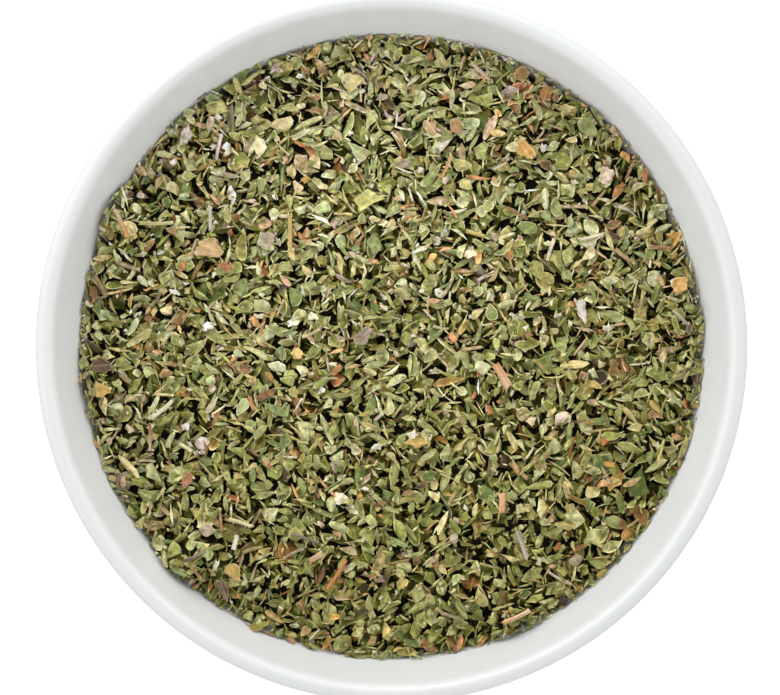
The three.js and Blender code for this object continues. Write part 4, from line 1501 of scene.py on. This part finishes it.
def make_loose_leaf(number, material):
    """A large dry leaf piece: a thin blade with a midrib, side veins and a wavy edge."""
    node = f"dry_leaf_{number:02d}"
    points = node_points(node)
    middle, axes = own_frame(points)
    local = (points - middle) @ axes.T
    low, high = local.min(axis=0)[:2], local.max(axis=0)[:2]
    spread = torn_leaf_outline() * (high - low) * LEAF_FILL + (high + low) / 2
    centre = spread.mean(axis=0)
    flat = np.concatenate([[centre], *[mix(centre, spread, share) for share in LEAF_RINGS], spread])
    veins = leaf_veins(flat, (high - low)[1] / 2)
    solid = leaf_solid(leaf_sheet(flat, local, veins))
    colours = leaf_colours(number, solid, veins)
    edge = np.repeat([0, *LEAF_RINGS, 1], [1, *[LEAF_SIDES] * (len(LEAF_RINGS) + 1)])
    place = np.stack([solid[:, 0], solid[:, 1], np.append(edge, edge[:LEAF_INSIDE])], axis=1)
    on_edge = np.zeros(len(solid), bool)
    on_edge[LEAF_EDGE] = True
    return make_loose(node, (middle, axes), solid, leaf_faces(), material,
                      np.concatenate([colours, place], axis=1), on_edge)


STALK_SIDES = 12
STALK_RINGS = 15
STALK_SLIMNESS = 0.84  # of the CAD stalk's radius
STALK_SQUARENESS = 0.07
STALK_GROOVE = 0.06
GROOVE_SIDES = 3  # one side in so many is grooved
STALK_FILL = (0.96, 0.02)  # mean and spread of a point's share of the radius
STALK_SWELL = 0.06
STALK_SWELL_WAVES = 2.3  # radians for each millimetre
SPLIT_DEPTH = 0.35  # how uneven a stalk's broken ends are
PITH_DEPTH = 0.25
STALK_STREAK_SPREAD = 0.13
STALK_FADE = (-0.1, 0.5)  # how much paler or darker one end may be
# painted shade in the sunken pith at each end of a stalk, as a share of its tone
PITH_SHADE = 0.35


def bow_terms(x):
    """The terms of a line that bows."""
    return np.stack([np.ones_like(x), x, x**2], axis=-1)


def stalk_course(local):
    """How a CAD stalk, given in its own frame, bows to two sides, and the radius for it here."""
    terms = bow_terms(local[:, 0])
    bows = np.linalg.lstsq(terms, local[:, 1:], rcond=None)[0]
    off_line = local[:, 1:] - terms @ bows
    return bows, np.linalg.norm(off_line, axis=1).max() * STALK_SLIMNESS


def stalk_solid(along, bows, radius):
    """Points of a slightly square, grooved rod with split ends, and of its two sunken piths."""
    turn = around(STALK_SIDES)
    is_groove = np.arange(STALK_SIDES) % GROOVE_SIDES == 1
    square = 1 + STALK_SQUARENESS * np.cos(4 * turn) - STALK_GROOVE * is_groove
    reach = radius * square * draw.normal(*STALK_FILL, (STALK_RINGS, STALK_SIDES))
    swell = 1 + STALK_SWELL * np.sin(STALK_SWELL_WAVES * along + draw.uniform(*ANY_PHASE))
    reach = np.minimum(reach * swell[:, None], radius)
    split = np.zeros((STALK_RINGS, STALK_SIDES))
    split[0] = draw.uniform(0, SPLIT_DEPTH, STALK_SIDES)
    split[-1] = -draw.uniform(0, SPLIT_DEPTH, STALK_SIDES)
    x = along[:, None] + split
    line = bow_terms(x) @ bows
    y = line[..., 0] + reach * np.cos(turn)
    z = line[..., 1] + reach * np.sin(turn)
    rod = np.stack([x, y, z], axis=-1)
    pith = np.stack([rod[0].mean(axis=0), rod[-1].mean(axis=0)])
    pith[:, 0] += [PITH_DEPTH, -PITH_DEPTH]
    return np.concatenate([rod.reshape(-1, 3), pith])


def stalk_colours(number, along):
    """Colours of a stalk's points: streaks along it, one end paler or darker, and painted shade in the
    sunken piths.
    """
    tone = flake_colours(STALK_TONES[number - 1], 1, LOOSE_SPREAD)[0]
    streak = np.tile(draw.normal(1, STALK_STREAK_SPREAD, STALK_SIDES), STALK_RINGS)
    fade = np.repeat(smoothstep(along, along[0], along[-1]), STALK_SIDES) * draw.uniform(*STALK_FADE)
    colours = mix(tone, PITH_TONE, fade[:, None]) * streak[:, None]
    return np.concatenate([colours, np.tile(PITH_SHADE * tone, (2, 1))])


def make_loose_stalk(number, material):
    """A piece of stalk: a rod that follows its CAD node, hollow at the pith."""
    node = f"stalk_{number:02d}"
    points = node_points(node)
    middle, axes = own_frame(points)
    local = (points - middle) @ axes.T
    along = np.linspace(local[:, 0].min(), local[:, 0].max(), STALK_RINGS)
    solid = stalk_solid(along, *stalk_course(local))
    colours = stalk_colours(number, along)
    kind = TubeKind(STALK_SIDES, STALK_RINGS)
    place = np.stack([solid[:, 0], np.full(len(solid), NO_VEINS), np.zeros(len(solid))], axis=1)
    return make_loose(node, (middle, axes), solid, kind.faces, material,
                      np.concatenate([colours, place], axis=1), kind.on_edge)


# Floor, lights and camera

BOWL_MIDDLE = (391.55, 346.76)  # pixel of the photograph, in its frame
PHOTO_SIZE = (780, 695)
RIM_PIXELS = 356.0  # radius of the rim in the photograph
CAMERA_HEIGHT = 850.0  # above the widest part of the rim
LIGHT_SIDE = 112  # degrees from +X towards +Y
KEY_ELEVATION = 40
KEY_DISTANCE = 0.3  # metres
KEY_SIZE = 0.22  # metres
KEY_POWER = 0.19  # watts
SKY_BRIGHT = 2.0  # strength of the band that goes all round
SKY_DARK = 0.22  # strength overhead
SKY_RISE = (0, 24)  # degrees above the horizon, between which it gets bright
SKY_FALL = (32, 58)  # degrees above the horizon, between which it gets dark
SKY_LEAN = 0.19  # how much brighter or dimmer the sky is towards the light's side and away from it
SKY_BELOW = 0.65  # strength below the horizon, which stands for light from the floor
FLOOR_REACH = 3.0  # metres
FLOOR_TONE = 0.8
FLOOR_ROUGHNESS = 0.9
FLOOR_GLOW = 0.55
SENSOR_WIDTH = 36
SIGHT_END = 10  # metres


def make_floor():
    """A pale floor, which lights nothing and isn't mirrored in anything."""
    mesh = bpy.data.meshes.new("floor")
    corners = [(x * FLOOR_REACH, y * FLOOR_REACH, 0) for x, y in [(-1, -1), (1, -1), (1, 1), (-1, 1)]]
    mesh.from_pydata(corners, [], [(0, 1, 2, 3)])
    material, nodes, links, shader = node_material("pale_floor")
    shader.inputs["Base Color"].default_value = (FLOOR_TONE, FLOOR_TONE, FLOOR_TONE, 1)
    shader.inputs["Roughness"].default_value = FLOOR_ROUGHNESS
    shader.inputs["Specular IOR Level"].default_value = 0
    shader.inputs["Emission Color"].default_value = (1, 1, 1, 1)
    shader.inputs["Emission Strength"].default_value = FLOOR_GLOW
    mesh.materials.append(material)
    floor = bpy.data.objects.new("floor", mesh)
    bpy.context.scene.collection.objects.link(floor)
    floor.visible_diffuse = False
    floor.visible_glossy = False


def make_key():
    """A soft light close by, which makes the near side of the heap a little brighter."""
    light = bpy.data.lights.new("key", "AREA")
    light.size = KEY_SIZE
    light.energy = KEY_POWER
    holder = bpy.data.objects.new("key", light)
    side, elevation = math.radians(LIGHT_SIDE), math.radians(KEY_ELEVATION)
    level = math.cos(elevation)
    back = Vector((level * math.cos(side), level * math.sin(side), math.sin(elevation)))
    holder.location = back * KEY_DISTANCE
    holder.rotation_euler = back.to_track_quat("Z", "Y").to_euler()
    bpy.context.scene.collection.objects.link(holder)


def sine(angle):
    return math.sin(math.radians(angle))


def make_sky():
    """A light tent: a bright band all round, a little brighter on one side, and a dark top."""
    world = bpy.data.worlds.new("sky")
    world.use_nodes = True
    nodes, links = world.node_tree.nodes, world.node_tree.links
    coordinates = nodes.new("ShaderNodeTexCoord")
    split = nodes.new("ShaderNodeSeparateXYZ")
    links.new(coordinates.outputs["Generated"], split.inputs["Vector"])
    across, along, up = split.outputs
    side = math.radians(LIGHT_SIDE)
    lean = math_node(nodes, links, "MULTIPLY_ADD", across, SKY_LEAN * math.cos(side), 1)
    lean = math_node(nodes, links, "MULTIPLY_ADD", along, SKY_LEAN * math.sin(side), lean)
    fall, rise = ([sine(angle) for angle in angles] for angles in (SKY_FALL, SKY_RISE))
    level = range_node(nodes, links, up, SKY_BRIGHT, SKY_DARK, fall, smooth=True)
    level = math_node(nodes, links, "MULTIPLY", level, lean)
    share = range_node(nodes, links, up, 0, 1, rise, smooth=True)
    rest = math_node(nodes, links, "SUBTRACT", level, SKY_BELOW)
    strength = math_node(nodes, links, "MULTIPLY_ADD", share, rest, SKY_BELOW)
    background = nodes["Background"]
    background.inputs["Color"].default_value = (1, 1, 1, 1)
    links.new(strength, background.inputs["Strength"])
    bpy.context.scene.world = world


def make_camera():
    """The camera looks straight down, with the bowl where the photograph has it."""
    pixel = rim_radius / RIM_PIXELS
    data = bpy.data.cameras.new("camera")
    data.sensor_width = SENSOR_WIDTH
    data.lens = SENSOR_WIDTH * CAMERA_HEIGHT / (pixel * PHOTO_SIZE[0])
    data.clip_end = SIGHT_END
    camera = bpy.data.objects.new("camera", data)
    x = (PHOTO_SIZE[0] / 2 - BOWL_MIDDLE[0]) * pixel
    y = (BOWL_MIDDLE[1] - PHOTO_SIZE[1] / 2) * pixel
    z = bowl_height - LIP_ROUND + CAMERA_HEIGHT
    camera.location = Vector((x, y, z)) * MM
    bpy.context.scene.collection.objects.link(camera)
    bpy.context.scene.camera = camera
    bpy.context.scene.view_settings.view_transform = "Standard"


make_camera()
make_sky()
make_key()
make_floor()
make_bowl()
leaf_material = dry_plant_material(
    "dry_leaf", grain_scale=1000, grain=(0.7, 1.25), roughness=(0.55, 0.75), bump_depth=0.00006,
    spacing=1.1, lift=(1.16, 1.13, 1.1))
stalk_material = dry_plant_material(
    "dry_stalk", grain_scale=3000, grain=(0.75, 1.15), roughness=(0.6, 0.8), bump_depth=0.00008,
    spacing=1, lift=(1, 1, 1))
leaf_shadows = [make_loose_leaf(number, leaf_material) for number in range(1, len(LEAF_TONES) + 1)]
stalk_shadows = [make_loose_stalk(number, stalk_material) for number in range(1, len(STALK_TONES) + 1)]
loose_shadows = leaf_shadows + stalk_shadows
heap_target, heap_ceiling = heap_limits(loose_shadows)
make_core(heap_target)
flake_material = dry_plant_material(
    "dry_oregano", grain_scale=1000, grain=(0.55, 1.4), roughness=(0.5, 0.75), bump_depth=0.00015,
    spacing=0.6, lift=(1.32, 1.28, 1.32))
make_heap(Heap(heap_target, heap_ceiling), loose_shadows, flake_material)
